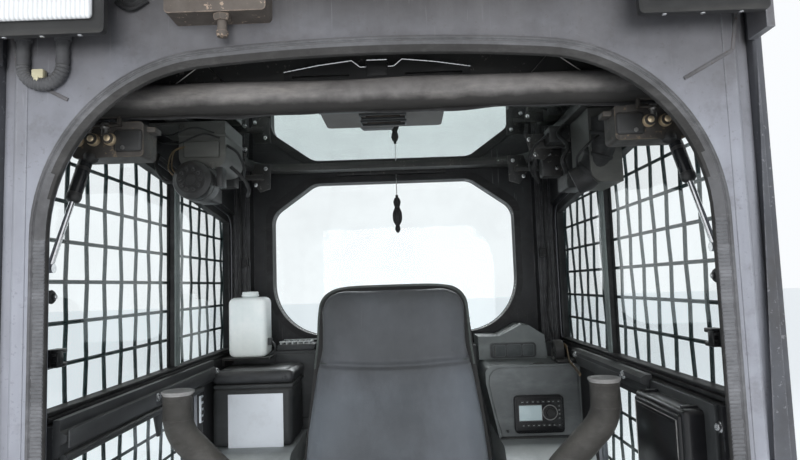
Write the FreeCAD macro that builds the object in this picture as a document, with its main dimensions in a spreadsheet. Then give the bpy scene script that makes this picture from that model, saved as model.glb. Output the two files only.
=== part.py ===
import FreeCAD, Part
import math
import os
from types import SimpleNamespace

import Sketcher

# Operator's cab of a skid steer loader, looking forward along -Y.
# The origin is on the floor under the middle of the cab, +Z is up, all sizes are millimetres.

SIZES = (
    # name, value, what it is
    ("cab_half_width", 490, "centre plane to the outside of the front frame and roof"),
    ("front_reach", 490, "origin forward to the front frame's face"),
    ("rear_reach", 498, "origin back to the rear wall's outside"),
    ("roof_underside", 1440, "height of the roof panel's underside"),
    ("roof_thickness", 40, "depth of the roof panel"),
    ("visor_reach", 48, "how far the roof runs ahead of the front frame"),
    ("cheek_drop", 108, "how far the visor's side cheeks hang"),
    ("cheek_thickness", 10, "thickness of a visor cheek"),
    ("roof_corner", 6, "corner radius of the roof in plan"),
    ("roof_rib_width", 70, "width of a pressed roof rib"),
    ("roof_rib_height", 10, "height of a pressed roof rib"),
    ("roof_rib_pitch", 190, "spacing of the roof ribs"),
    ("roof_rib_margin", 120, "roof edge to the end of a rib"),
    ("frame_depth", 40, "depth of the front frame"),
    ("frame_step", 16, "height of the front frame's raised face"),
    ("frame_margin", 22, "outer edge to the raised face"),
    ("frame_edge", 10, "rounding of the folded outer edges"),
    ("pillar_width", 52, "outside of the front frame to the doorway"),
    ("door_sill", 100, "height of the doorway's lower edge"),
    ("header_height", 88, "roof's underside to the doorway's crown"),
    ("door_corner", 236, "radius of the doorway's upper corners"),
    ("door_crown", 2600, "radius of the doorway's crown"),
    ("seal_width", 24, "door seal seen from the front"),
    ("seal_depth", 12, "door seal along the cab"),
    ("seal_stand", 10, "how far the door seal stands ahead of the frame"),
    ("wall_margin", 60, "outside of the front frame to a side wall's inner face"),
    ("wall_thickness", 35, "thickness of the side and rear walls"),
    ("base_height", 52, "height of the base frame"),
    ("rail_width", 80, "width of the base frame's side rails"),
    ("cross_width", 60, "width of the base frame's cross members"),
    ("floor_thickness", 8, "thickness of the floor plate"),
    ("window_bottom", 866, "height of a side window opening's lower edge"),
    ("window_front_drop", 118, "roof's underside to a side window opening's front upper corner"),
    ("window_rear_drop", 208, "roof's underside to a side window opening's rear upper corner"),
    ("window_front", 447, "origin forward to the side window opening"),
    ("window_rear", 432, "origin back to the side window opening"),
    ("window_corner", 42, "radius of a side window opening's rear corners"),
    ("window_front_corner", 24, "radius of a side window opening's front corners"),
    ("window_recess", 10, "how far the wall is pressed back round a side window"),
    ("window_recess_lap", 8, "side window opening to the edge of its recess"),
    ("window_trim", 16, "width of the side window's frame"),
    ("window_stile", 6, "width of the side window frame's front stile"),
    ("window_trim_inset", 4, "floor of the wall's recess to the window frame"),
    ("window_trim_depth", 20, "depth of the window frame"),
    ("meeting_rail", 12, "width of the rail where the sliding panes meet"),
    ("meeting_place", 23, "origin back to the meeting rail's middle"),
    ("glass_thickness", 5, "thickness of the panes"),
    ("port_bottom", 430, "height of a lower side opening's lower edge"),
    ("port_top", 828, "height of a lower side opening's upper edge"),
    ("port_front_left", 438, "origin forward to the left lower opening"),
    ("port_front_right", 212, "origin forward to the right lower opening"),
    ("port_rear", 145, "origin back to the lower openings' rear edge"),
    ("port_corner", 30, "corner radius of a lower side opening"),
    ("guard_wire", 6, "width of a guard strand"),
    ("guard_rim", 12, "width of the guard's rim"),
    ("guard_gap", 0, "side wall to the guard"),
    ("guard_pitch", 59, "spacing of the guard's strands"),
    ("guard_overlap", 10, "how far the guard laps past an opening"),
    ("post_width", 42, "width of a rear corner post"),
    ("post_depth", 45, "how far a rear corner post stands ahead of the rear wall"),
    ("post_groove", 6, "width of a groove down a rear corner post, and of the ribs between"),
    ("post_groove_depth", 4, "depth of a groove down a rear corner post"),
    ("rear_window_margin", 78, "side wall to the rear window opening"),
    ("rear_window_bottom", 886, "height of the rear window opening's lower edge"),
    ("rear_window_drop", 100, "roof's underside to the rear window opening"),
    ("rear_window_corner", 160, "radius of the rear window's lower corners"),
    ("rear_window_bevel_x", 118, "width of the rear window's bevelled upper corners"),
    ("rear_window_bevel_z", 84, "height of the rear window's bevelled upper corners"),
    ("rear_window_round", 50, "rounding at the bevelled corners"),
    ("rear_seal_width", 17, "rear window seal seen from inside"),
    ("rear_seal_stand", 7, "how far the rear window seal stands off the wall"),
    ("headliner_thickness", 26, "thickness of the roof lining"),
    ("lug_reach", 52, "how far the tilt lugs stand behind the rear wall"),
    ("lug_width", 30, "length of a tilt lug's bore"),
    ("lug_margin", 120, "outside of the side wall to the middle of a tilt lug"),
    ("lug_bore", 12.5, "radius of a tilt lug's bore"),
    ("lug_bore_height", 26, "height of the tilt axis"),
    ("lug_bore_reach", 26, "rear wall to the tilt axis"),
    ("bolt_radius", 9, "radius of a front hold-down hole"),
    ("bolt_margin", 57, "outside of the side wall to a front hold-down hole"),
    ("bolt_setback", 70, "front frame's face to the front hold-down holes"),
    ("stowed_margin", 32, "side wall to the stowed door"),
    ("stowed_front", 386, "origin forward to the stowed door's front lip"),
    ("stowed_rear", 415, "origin back to the stowed door's rear edge"),
    ("stowed_drop", 68, "roof lining to the stowed door frame's underside"),
    ("stowed_thickness", 24, "thickness of the stowed door's frame"),
    ("stowed_rim", 40, "width of the stowed door's frame"),
    ("stowed_corner", 120, "corner radius at the stowed door's rear"),
    ("stowed_glass_raise", 9, "door frame's underside to its pane"),
    ("lip_thickness", 6, "thickness of the stowed door's front lip"),
    ("lip_height", 56, "height of the stowed door's front lip"),
    ("handle_half", 134, "half width of the door handle"),
    ("handle_crest", 36, "centre plane to the handle's full height"),
    ("handle_notch", 20, "centre plane to the middle of the handle's notches"),
    ("handle_shoulder", 10, "height of the handle's sloping shoulders"),
    ("bulb_radius", 24, "radius of the bulb seal on the stowed door"),
    ("bulb_drop", 43, "stowed door frame's underside to the bulb seal's axis"),
    ("bulb_clearance", 6, "bulb seal's end to the side wall"),
    ("latch_half", 108, "half width of the door latch cover"),
    ("latch_front", 217, "origin forward to the latch cover"),
    ("latch_length", 117, "length of the latch cover"),
    ("latch_thickness", 20, "thickness of the latch cover"),
    ("latch_slot_length", 62, "length of a slot in the latch cover"),
    ("latch_slot_width", 22, "width of a slot in the latch cover"),
    ("rail_depth", 22, "width of a door rail"),
    ("rail_height", 30, "height of a door rail"),
    ("rail_drop", 38, "roof lining to a door rail's underside"),
    ("hanger_length", 46, "length of a door hanger"),
    ("hanger_front", 290, "origin forward to the front door hangers' middle"),
    ("hanger_rear", 258, "origin back to the rear door hangers' middle"),
    ("hanger_clearance", 4, "door hanger to the rail"),
    ("roller_clearance", 0.1, "roller to the rail's groove"),
    ("carriage_width", 100, "width of a roller carriage"),
    ("carriage_height", 50, "height of a roller carriage"),
    ("carriage_drop", 151, "door rail's underside to a roller carriage's underside"),
    ("carriage_length", 46, "length of a roller carriage"),
    ("carriage_front", 412, "origin forward to a roller carriage"),
    ("stud_radius", 7.5, "radius of a carriage stud"),
    ("stud_length", 12, "length of a carriage stud"),
    ("stud_pitch", 23, "spacing of the carriage studs"),
    ("stud_edge", 8, "side wall to the middle of the first carriage stud"),
    ("strut_margin", 14, "side wall to a gas strut's upper pivot"),
    ("strut_eye", 6, "roller carriage to a gas strut's upper end"),
    ("strut_setback", 8, "front of a roller carriage to a gas strut's upper pivot"),
    ("strut_bottom", 1070, "height of a gas strut's lower pivot"),
    ("strut_bottom_setback", 30, "front frame's face to a gas strut's lower pivot"),
    ("strut_jamb_gap", 6, "doorway's edge to a gas strut's lower pivot"),
    ("strut_radius", 9.5, "radius of a gas strut's cylinder"),
    ("strut_rod_radius", 4, "radius of a gas strut's rod"),
    ("strut_share", 0.36, "share of a gas strut's length that is cylinder"),
    ("pivot_radius", 6, "radius of a gas strut's ball stud"),
    ("lamp_half", 78, "half width of a work lamp"),
    ("lamp_margin", 92, "outside of the front frame to a work lamp's middle"),
    ("lamp_drop", 94, "roof's underside to a work lamp's underside"),
    ("lamp_height", 90, "height of a work lamp"),
    ("lamp_reach", 60, "how far a work lamp stands ahead of the frame"),
    ("lamp_corner", 18, "corner radius of a work lamp"),
    ("lens_rim", 11, "width of a work lamp's rim"),
    ("lens_depth", 8, "depth of a work lamp's lens"),
    ("striker_offset", 205, "work lamp's middle to the header bracket's middle"),
    ("striker_half", 63, "half width of the header bracket"),
    ("striker_drop", 63, "roof's underside to the header bracket's underside"),
    ("striker_height", 50, "height of the header bracket"),
    ("striker_reach", 40, "how far the header bracket stands ahead of the frame"),
    ("striker_pin_radius", 6, "radius of the header bracket's pin"),
    ("striker_pin_length", 26, "length of the header bracket's pin"),
    ("conduit_radius", 8.5, "radius of the lamp lead's conduit"),
    ("conduit_offset", 24.5, "work lamp's middle to the conduit loop's middle"),
    ("conduit_bend", 25.5, "bend radius of the conduit loop"),
    ("conduit_drop", 52, "work lamp's underside to the conduit loop's lowest line"),
    ("console_width", 194, "width of a side console"),
    ("console_front", -123, "origin forward to the side consoles"),
    ("console_top", 672, "height of the side consoles"),
    ("console_edge", 36, "rounding of the side consoles' front edges"),
    ("shelf_front", -380, "origin forward to the rear console"),
    ("shelf_top", 872, "height of the rear console"),
    ("radio_panel_front", -219, "origin forward to the right dash's lower face"),
    ("radio_panel_top", 838, "height of the right dash's lower tier"),
    ("upper_tier_front", -345, "origin forward to the right dash's upper tier"),
    ("upper_tier_top", 896, "height of the right dash's upper tier"),
    ("upper_tier_margin", 46, "side wall to the right dash's upper tier"),
    ("dash_flare", 26, "how far the right dash's tiers overhang the side console"),
    ("dash_shoulder", 40, "height of the right dash's flared lower tier at its inner end"),
    ("dash_round", 18, "rounding of the right dash's inner upper edge"),
    ("peak_rise", 26, "height of the peak on the right dash"),
    ("peak_outer", 46, "upper tier's outer end to the peak's outer edge"),
    ("peak_inner", 66, "upper tier's outer end to the peak's inner edge"),
    ("peak_foot", 118, "upper tier's outer end to the foot of the peak"),
    ("peak_lean", 6, "how far the upper tier's outer end leans in"),
    ("radio_margin", 102, "side wall to the radio's middle"),
    ("radio_raise", 55, "side console to the radio's middle"),
    ("radio_half", 57, "half width of the radio"),
    ("radio_tall", 85, "height of the radio's face"),
    ("radio_stand", 12, "how far the radio stands out"),
    ("box_width", 197, "width of the storage box"),
    ("box_front", -206, "origin forward to the storage box"),
    ("box_depth", 148, "length of the storage box along the cab"),
    ("box_height", 140, "height of the storage box without its cover"),
    ("box_cover", 34, "height of the storage box's cover"),
    ("box_corner", 16, "corner radius of the storage box"),
    ("box_cover_round", 10, "rounding of the storage box cover's upper edge"),
    ("bottle_margin", 65, "side wall to the washer bottle's middle"),
    ("bottle_half", 51, "half width of the washer bottle"),
    ("bottle_front", -301, "origin forward to the washer bottle"),
    ("bottle_depth", 74, "depth of the washer bottle"),
    ("bottle_height", 148, "height of the washer bottle's body"),
    ("bottle_corner", 18, "corner radius of the washer bottle"),
    ("bottle_neck", 20, "radius of the washer bottle's neck"),
    ("bottle_cap_height", 16, "height of the washer bottle's cap"),
    ("bracket_height", 866, "height of the bottle bracket's top"),
    ("bracket_thickness", 5, "thickness of the bottle bracket"),
    ("display_front", 413, "origin forward to the display"),
    ("display_length", 181, "length of the display along the cab"),
    ("display_bottom", 690, "height of the display's lower edge"),
    ("display_top", 854, "height of the display's upper edge"),
    ("display_thickness", 38, "thickness of the display"),
    ("display_corner", 12, "corner radius of the display"),
    ("housing_width", 85, "width of the overhead housing"),
    ("housing_front", 150, "origin forward to the overhead housing"),
    ("housing_length", 120, "length of the overhead housing"),
    ("housing_height", 88, "height of the overhead housing"),
    ("housing_clearance", 2, "stowed door to the overhead housing"),
    ("housing_corner", 24, "rounding of the overhead housing's lower edges"),
    ("motor_radius", 40, "radius of the blower motor"),
    ("motor_length", 62, "length of the blower motor"),
    ("housing_margin", 55, "side wall to the overhead housing"),
    ("motor_drop", 24, "overhead housing's underside to the blower motor's axis"),
    ("duct_width", 58, "width of the right overhead duct"),
    ("duct_height", 136, "height of the right overhead duct"),
    ("retractor_radius", 34, "radius of the belt retractor"),
    ("retractor_width", 52, "width of the belt retractor"),
    ("retractor_place", 258, "origin back to the belt retractor's axis"),
    ("pedestal_half", 165, "half width of the seat pedestal"),
    ("pedestal_front", 200, "origin forward to the seat pedestal"),
    ("pedestal_rear", 130, "origin back to the seat pedestal"),
    ("pedestal_top", 296, "height of the seat pedestal"),
    ("pedestal_draft", 28, "how far the pedestal narrows to its top"),
    ("slide_rail_width", 34, "width of a seat slide rail"),
    ("slide_rail_height", 20, "height of a fixed seat slide rail"),
    ("slide_rail_place", 118, "centre plane to a seat slide rail"),
    ("slide_clearance", 0.4, "gap between fixed and moving slide rails"),
    ("runner_height", 14, "height of a moving seat runner"),
    ("pan_thickness", 22, "thickness of the seat pan"),
    ("seat_half", 214, "half width of the seat cushion"),
    ("seat_front", 300, "origin forward to the seat cushion"),
    ("seat_rear", 78, "origin back to the seat cushion"),
    ("cushion_thickness", 118, "thickness of the seat cushion"),
    ("cushion_edge", 34, "rounding of the seat cushion"),
    ("back_bottom", 470, "height of the backrest's lower edge"),
    ("back_length", 572, "length of the backrest"),
    ("back_lean", 11, "lean of the backrest in degrees"),
    ("back_thickness", 92, "thickness of the backrest pad"),
    ("back_shell", 16, "thickness of the backrest's shell"),
    ("back_half_bottom", 226, "half width of the backrest's lower end"),
    ("back_half_neck", 180, "half width of the backrest under its head part"),
    ("back_half_top", 170, "half width of the backrest's top"),
    ("back_neck", 425, "backrest's lower edge to its neck"),
    ("back_corner", 52, "corner radius of the backrest's top"),
    ("back_edge", 24, "rounding of the backrest pad"),
    ("lever_margin", 78, "side wall to a lever's grip"),
    ("lever_jog", 90, "how far a lever jogs outwards"),
    ("lever_reach", 220, "origin forward to the levers"),
    ("lever_top", 871, "height of a lever's top"),
    ("lever_jog_top", 806, "height where a lever turns inwards"),
    ("lever_radius", 24, "radius of a lever's sleeve"),
    ("lever_bend", 62, "bend radius of a lever"),
    ("lever_pivot_height", 150, "height of the levers' pivot axis"),
    ("lever_hub_radius", 24, "radius of a lever's hub"),
    ("lever_hub_width", 36, "width of a lever's hub"),
    ("lever_pin_radius", 10, "radius of a lever's pivot pin"),
    ("pin_clearance", 0.05, "running clearance of a pivot pin"),
    ("ear_thickness", 10, "thickness of a lever bracket's ear"),
    ("ear_clearance", 1, "lever's hub to a bracket's ear"),
    ("hub_wall", 4, "how far a lever's hub stands out around its sleeve"),
    ("handle_thickness", 12, "thickness of the door handle"),
    ("handle_rise", 28, "height of the door handle"),
    ("handle_gap", 2, "bulb seal to the door handle"),
    ("handle_recess", 8, "depth of the handle's finger recesses"),
    ("carriage_clearance", 1, "bulb seal to a roller carriage's hanger"),
    ("belt_rail_bottom", 826, "height of the rail under a side window"),
    ("belt_rail_height", 48, "height of the rail under a side window's full section"),
    ("belt_rail_depth", 18, "how far the rail under a side window stands in"),
    ("belt_rail_end", 200, "origin back to the rail's rear end"),
    ("belt_rail_setback", 12, "display to the rail under the right side window"),
    ("belt_rail_gap", 2, "right dash to the rail under the side window"),
    ("window_latch_height", 952, "height of a side window's latch"),
    ("window_latch_length", 28, "length of a side window's latch"),
    ("window_latch_tall", 24, "how tall a side window's latch is"),
    ("window_latch_stand", 22, "how far a side window's latch stands in"),
    ("header_bar_half", 150, "half width of the bar over the rear window"),
    ("header_bar_height", 40, "height of the bar over the rear window"),
    ("header_bar_depth", 16, "depth of the bar over the rear window"),
    ("header_bar_raise", 1, "rear window opening to the bar above it"),
    ("pull_place", 13, "centre plane to the window's release pull"),
    ("pull_radius", 1.2, "radius of the release pull's cord"),
    ("pull_length", 58, "length of the release pull's cord"),
    ("tassel_length", 106, "length of the tassel"),
    ("tassel_radius", 12, "radius of the tassel at its widest"),
    ("ear_half", 34, "half length of a lever bracket's ear"),
)

doc = FreeCAD.newDocument("OperatorCab")
sheet = doc.addObject("Spreadsheet::Sheet", "Sizes")
for row, (name, value, note) in enumerate(SIZES, start=1):
    sheet.set("A%d" % row, note)
    sheet.set("B%d" % row, str(value))
    sheet.setAlias("B%d" % row, name)
doc.recompute()


class Size:
    """A length that keeps the sheet expression it comes from."""

    def __init__(self, text, value):
        self.text = text
        self.value = float(value)

    def __float__(self):
        return self.value

    def __neg__(self):
        return Size("(0 - %s)" % self.text, -self.value)

    def __add__(self, other):
        other = size(other)
        return Size("(%s + %s)" % (self.text, other.text), self.value + other.value)

    def __radd__(self, other):
        return size(other) + self

    def __sub__(self, other):
        other = size(other)
        return Size("(%s - %s)" % (self.text, other.text), self.value - other.value)

    def __rsub__(self, other):
        return size(other) - self

    def __mul__(self, factor):
        factor = size(factor)
        return Size("(%s * %s)" % (self.text, factor.text), self.value * factor.value)

    __rmul__ = __mul__

    def __truediv__(self, factor):
        factor = size(factor)
        return Size("(%s / %s)" % (self.text, factor.text), self.value / factor.value)


def size(number):
    """A plain number as a Size, so that both kinds mix in sums."""
    return number if isinstance(number, Size) else Size("(%s)" % repr(float(number)), number)


S = SimpleNamespace(**{name: Size("Sizes." + name, getattr(sheet, name)) for name, _, _ in SIZES})

# Places that follow from the sizes in the sheet.
S.door_half_width = S.cab_half_width - S.pillar_width
S.door_top = S.roof_underside - S.header_height
S.wall_inside = S.cab_half_width - S.wall_margin
S.window_trim_start = S.window_recess + S.window_trim_inset
S.window_front_top = S.roof_underside - S.window_front_drop
S.window_rear_top = S.roof_underside - S.window_rear_drop
S.rear_window_half = S.wall_inside - S.rear_window_margin
S.rear_window_top = S.roof_underside - S.rear_window_drop
S.lug_place = S.wall_inside + S.wall_thickness - S.lug_margin
S.bolt_place = S.wall_inside + S.wall_thickness - S.bolt_margin
S.bolt_reach = S.front_reach - S.bolt_setback
S.stowed_half_width = S.wall_inside - S.stowed_margin
S.stowed_height = S.roof_underside - S.headliner_thickness - S.stowed_drop
S.stowed_glass_height = S.stowed_height + S.stowed_glass_raise
S.lip_bottom = S.stowed_height - S.lip_height
S.bulb_height = S.stowed_height - S.bulb_drop
S.rail_bottom = S.roof_underside - S.headliner_thickness - S.rail_drop
S.carriage_bottom = S.rail_bottom - S.carriage_drop
S.strut_place = S.wall_inside - S.strut_margin
S.strut_bottom_place = S.door_half_width - S.strut_jamb_gap
S.strut_top = S.carriage_bottom - S.strut_eye
S.lamp_place = S.cab_half_width - S.lamp_margin
S.lamp_bottom = S.roof_underside - S.lamp_drop
S.striker_place = S.lamp_place - S.striker_offset
S.striker_bottom = S.roof_underside - S.striker_drop
S.conduit_place = S.lamp_place + S.conduit_offset
S.conduit_bottom = S.lamp_bottom - S.conduit_drop
S.console_inside = S.wall_inside - S.console_width
S.dash_inside = S.console_inside - S.dash_flare
S.upper_tier_outside = S.wall_inside - S.upper_tier_margin
S.radio_place = S.wall_inside - S.radio_margin
S.radio_height = S.console_top + S.radio_raise
S.box_inside = S.wall_inside - S.box_width
S.box_top = S.console_top + S.box_height
S.bottle_place = S.wall_inside - S.bottle_margin
S.housing_top = S.stowed_height - S.housing_clearance
S.housing_bottom = S.housing_top - S.housing_height
S.housing_inside = S.wall_inside - S.housing_margin - S.housing_width
S.motor_place = S.housing_inside + S.housing_width / 2
S.motor_height = S.housing_bottom - S.motor_drop
S.duct_bottom = S.housing_top - S.duct_height
S.lever_grip_place = S.wall_inside - S.lever_margin
S.lever_shaft_place = S.lever_grip_place - S.lever_jog

# Heights and reaches that several pieces share.
FLOOR = S.base_height + S.floor_thickness
FRAME_FRONT = -S.front_reach
FRAME_BACK = -S.front_reach + S.frame_depth
WALL_OUTSIDE = S.wall_inside + S.wall_thickness
REAR_INSIDE = S.rear_reach - S.wall_thickness
ROOF_TOP = S.roof_underside + S.roof_thickness
LINING_UNDERSIDE = S.roof_underside - S.headliner_thickness

nodes = []


def keep(thing, label):
    """Marks an object as a sub-part: its label names its file."""
    thing.Label = label
    nodes.append(thing)
    return thing


def bind(thing, **sizes):
    """Ties the named properties of an object to sizes in the sheet."""
    for name, length in sizes.items():
        thing.setExpression(name, size(length).text)


def place(thing, x=0, y=0, z=0):
    """Ties an object's position to sizes in the sheet."""
    for axis, length in zip("xyz", (x, y, z)):
        thing.setExpression("Placement.Base." + axis, size(length).text)


# Part primitives and booleans

def block(name, x, y, z):
    """A box from its (low, high) sizes along each axis."""
    box = doc.addObject("Part::Box", name)
    bind(box, Length=size(x[1]) - x[0], Width=size(y[1]) - y[0], Height=size(z[1]) - z[0])
    place(box, x[0], y[0], z[0])
    return box


def rod(name, radius, length, base, axis):
    """A cylinder from its base point along +X, +Y or +Z."""
    cylinder = doc.addObject("Part::Cylinder", name)
    bind(cylinder, Radius=radius, Height=length)
    turn = {"X": ((0, 1, 0), 90), "Y": ((1, 0, 0), -90), "Z": ((0, 0, 1), 0)}[axis]
    cylinder.Placement.Rotation = FreeCAD.Rotation(FreeCAD.Vector(*turn[0]), turn[1])
    place(cylinder, *base)
    return cylinder


def fused(name, *pieces):
    """Several pieces as one solid."""
    union = doc.addObject("Part::MultiFuse", name)
    union.Shapes = list(pieces)
    union.Refine = True
    return union


def less(name, base, tool):
    """The base with the tool's space taken out."""
    difference = doc.addObject("Part::Cut", name)
    difference.Base = base
    difference.Tool = tool
    difference.Refine = True
    return difference


def reflected(source):
    """The same piece on the other side of the centre plane."""
    copy = doc.addObject("Part::Mirroring", source.Name + "Mirrored")
    copy.Source = source
    copy.Normal = FreeCAD.Vector(1, 0, 0)
    return copy


def mirrored(source, label):
    """A sub-part that is the mirror image of another."""
    return keep(reflected(source), label)


def pair(source, label):
    """A sub-part made of a piece and its mirror image."""
    both = doc.addObject("Part::Compound", source.Name + "Pair")
    both.Links = [source, reflected(source)]
    return keep(both, label)


def along(edge, axis):
    """Whether an edge is straight and runs along X, Y or Z."""
    if len(edge.Vertexes) != 2:
        return False
    start, end = (vertex.Point for vertex in edge.Vertexes)
    run = (end - start).normalize()
    return edge.Curve.TypeId == "Part::GeomLine" and abs(abs(getattr(run, axis.lower())) - 1) < 1e-6


def edges_of(shape, axis, test=None):
    """Numbers of the shape's edges along an axis whose middle passes the test."""
    found = []
    for number, edge in enumerate(shape.Edges, start=1):
        if along(edge, axis) and (test is None or test(edge.CenterOfMass)):
            found.append(number)
    return found


def rounded(name, base, axis, radius, test=None):
    """A Part fillet on the base's edges along an axis."""
    doc.recompute()
    fillet = doc.addObject("Part::Fillet", name)
    fillet.Base = base
    r = float(radius)
    fillet.Edges = [(number, r, r) for number in edges_of(base.Shape, axis, test)]
    return fillet


def rimmed(name, base, radius, *heights):
    """A piece with all the edges that lie flat at the given heights rounded."""
    doc.recompute()
    fillet = doc.addObject("Part::Fillet", name)
    fillet.Base = base
    fillet.Edges = [(number, float(radius), float(radius)) for number, edge in enumerate(base.Shape.Edges, start=1)
                    if any(all(abs(vertex.Point.z - float(height)) < 0.01 for vertex in edge.Vertexes)
                           for height in heights)]
    return fillet


# Part Design bodies

def new_body(label, kept=True):
    body = doc.addObject("PartDesign::Body", label)
    return keep(body, label) if kept else body


def plane_of(body, role):
    return next(f for f in body.Origin.OriginFeatures if f.Role == role + "_Plane")


def new_sketch(body, name, plane, offset=0):
    """A sketch on one of the body's own origin planes, moved along its normal."""
    sketch = body.newObject("Sketcher::SketchObject", name)
    sketch.AttachmentSupport = [(plane_of(body, plane), "")]
    sketch.MapMode = "FlatFace"
    sketch.setExpression("AttachmentOffset.Base.z", size(offset).text)
    return sketch


def dimension(sketch, kind, *arguments):
    """Adds a dimension to a sketch and ties it to the sheet."""
    *where, length = arguments
    length = size(length)
    number = sketch.addConstraint(Sketcher.Constraint(kind, *where, length.value))
    sketch.setExpression("Constraints[%d]" % number, length.text)


def polygon(body, name, plane, points, offset=0):
    """A closed outline through points, each held by its two coordinates."""
    sketch = new_sketch(body, name, plane, offset)
    corners = [FreeCAD.Vector(float(u), float(v), 0) for u, v in points]
    lines = [Part.LineSegment(a, b) for a, b in zip(corners, corners[1:] + corners[:1])]
    sketch.addGeometry(lines, False)
    count = len(lines)
    for i in range(count):
        sketch.addConstraint(Sketcher.Constraint("Coincident", i, 2, (i + 1) % count, 1))
    for i, (u, v) in enumerate(points):
        dimension(sketch, "DistanceX", -1, 1, i, 1, u)
        dimension(sketch, "DistanceY", -1, 1, i, 1, v)
    return sketch


def rectangle(u, v):
    """Four corners from (low, high) pairs."""
    return [(u[0], v[0]), (u[1], v[0]), (u[1], v[1]), (u[0], v[1])]


def extruded(body, kind, name, sketch, length, reverse=False):
    """A Pad or Pocket of the sketch."""
    feature = body.newObject("PartDesign::" + kind, name)
    feature.Profile = sketch
    bind(feature, Length=length)
    feature.Reversed = reverse
    sketch.Visibility = False
    doc.recompute()
    return feature


def pad(body, name, sketch, length, reverse=False):
    return extruded(body, "Pad", name, sketch, length, reverse)


def pocket(body, name, sketch, length, reverse=False):
    """A Pocket that has to take material away."""
    before = body.Tip.Shape.Volume
    feature = extruded(body, "Pocket", name, sketch, length, reverse)
    if not feature.Shape.Volume < before - 1:
        raise ValueError("%s cuts nothing" % name)
    return feature


def soften(body, name, axis, radius, test=None):
    """A Part Design fillet on the tip's edges along an axis."""
    tip = body.Tip
    fillet = body.newObject("PartDesign::Fillet", name)
    fillet.Base = (tip, ["Edge%d" % number for number in edges_of(tip.Shape, axis, test)])
    bind(fillet, Radius=radius)
    doc.recompute()
    return fillet


def near(u_axis, u, v_axis=None, v=None, reach=2.0):
    """A test for edges whose middle lies at the given coordinates."""

    def test(point):
        if abs(getattr(point, u_axis) - float(u)) > reach:
            return False
        return v_axis is None or abs(getattr(point, v_axis) - float(v)) <= reach

    return test


def doorway(body, name, offset, inset=0):
    """The doorway's outline: straight sides, round upper corners and an arched crown, all tangent."""
    half = S.door_half_width - inset
    top = S.door_top - inset
    corner = S.door_corner - inset
    crown = S.door_crown - inset
    sill = S.door_sill + inset
    sketch = new_sketch(body, name, "XZ", offset)
    crown_z = float(top) - float(crown)
    corner_x = float(half) - float(corner)
    corner_z = crown_z + math.sqrt((float(crown) - float(corner)) ** 2 - corner_x ** 2)
    lean = math.atan2(corner_z - crown_z, corner_x)
    normal = FreeCAD.Vector(0, 0, 1)

    def arc(x, z, radius, start, end):
        circle = Part.Circle(FreeCAD.Vector(x, z, 0), normal, float(radius))
        return Part.ArcOfCircle(circle, start, end)

    right, left, bottom = float(half), -float(half), float(sill)
    sketch.addGeometry([
        Part.LineSegment(FreeCAD.Vector(right, bottom, 0), FreeCAD.Vector(right, corner_z, 0)),
        arc(corner_x, corner_z, corner, 0, lean),
        arc(0, crown_z, crown, lean, math.pi - lean),
        arc(-corner_x, corner_z, corner, math.pi - lean, math.pi),
        Part.LineSegment(FreeCAD.Vector(left, corner_z, 0), FreeCAD.Vector(left, bottom, 0)),
        Part.LineSegment(FreeCAD.Vector(left, bottom, 0), FreeCAD.Vector(right, bottom, 0)),
    ], False)
    side_right, arc_right, arc_crown, arc_left, side_left, threshold = range(6)
    for kind, *where in (
        ("Tangent", side_right, 2, arc_right, 1),
        ("Tangent", arc_right, 2, arc_crown, 1),
        ("Tangent", arc_crown, 2, arc_left, 1),
        ("Tangent", arc_left, 2, side_left, 1),
        ("Coincident", side_left, 2, threshold, 1),
        ("Coincident", threshold, 2, side_right, 1),
        ("Vertical", side_right),
        ("Vertical", side_left),
        ("Horizontal", threshold),
        ("PointOnObject", arc_crown, 3, -2),
    ):
        sketch.addConstraint(Sketcher.Constraint(kind, *where))
    dimension(sketch, "Radius", arc_right, corner)
    dimension(sketch, "Radius", arc_left, corner)
    dimension(sketch, "Radius", arc_crown, crown)
    dimension(sketch, "DistanceX", -1, 1, side_right, 1, half)
    dimension(sketch, "DistanceX", -1, 1, side_left, 2, -half)
    dimension(sketch, "DistanceY", -1, 1, side_right, 1, sill)
    dimension(sketch, "DistanceY", -1, 1, arc_crown, 3, top - crown)
    return sketch


# Shell of the cab

def front_frame():
    body = new_body("front_frame")
    wide = (-S.cab_half_width, S.cab_half_width)
    back = polygon(body, "FrameBack", "XZ", rectangle(wide, (0, S.roof_underside)), -FRAME_BACK)
    pad(body, "FrameBackPad", back, S.frame_depth - S.frame_step)
    face_half = S.cab_half_width - S.frame_margin
    raised = rectangle((-face_half, face_half), (S.frame_margin, S.roof_underside))
    face = polygon(body, "FrameFace", "XZ", raised, -FRAME_FRONT - S.frame_step)
    pad(body, "FrameFacePad", face, S.frame_step)
    opening = doorway(body, "FrameDoorway", -FRAME_FRONT)
    pocket(body, "FrameDoorwayPocket", opening, S.frame_depth)
    outer = near("y", FRAME_FRONT + S.frame_step)
    soften(body, "FrameOuterEdge", "Z", S.frame_edge, lambda p: outer(p) and abs(p.x) > float(face_half) + 1)
    raised_edge = near("y", FRAME_FRONT)
    soften(body, "FrameRaisedEdge", "Z", S.frame_edge,
           lambda p: raised_edge(p) and abs(p.x) > float(face_half) - 1)


def door_seal():
    body = new_body("door_seal")
    outline = doorway(body, "SealOutside", -FRAME_FRONT - S.seal_depth + S.seal_stand)
    pad(body, "SealPad", outline, S.seal_depth)
    inside = doorway(body, "SealInside", -FRAME_FRONT + S.seal_stand, S.seal_width)
    pocket(body, "SealPocket", inside, S.seal_depth)


def window_outline(inset=0, stile=None):
    """Corners of the side window opening, as (y, z); the front edge may have an inset of its own."""
    front = -S.window_front + (inset if stile is None else stile)
    return [
        (front, S.window_bottom + inset),
        (S.window_rear - inset, S.window_bottom + inset),
        (S.window_rear - inset, S.window_rear_top - inset),
        (front, S.window_front_top - inset),
    ]


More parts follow.
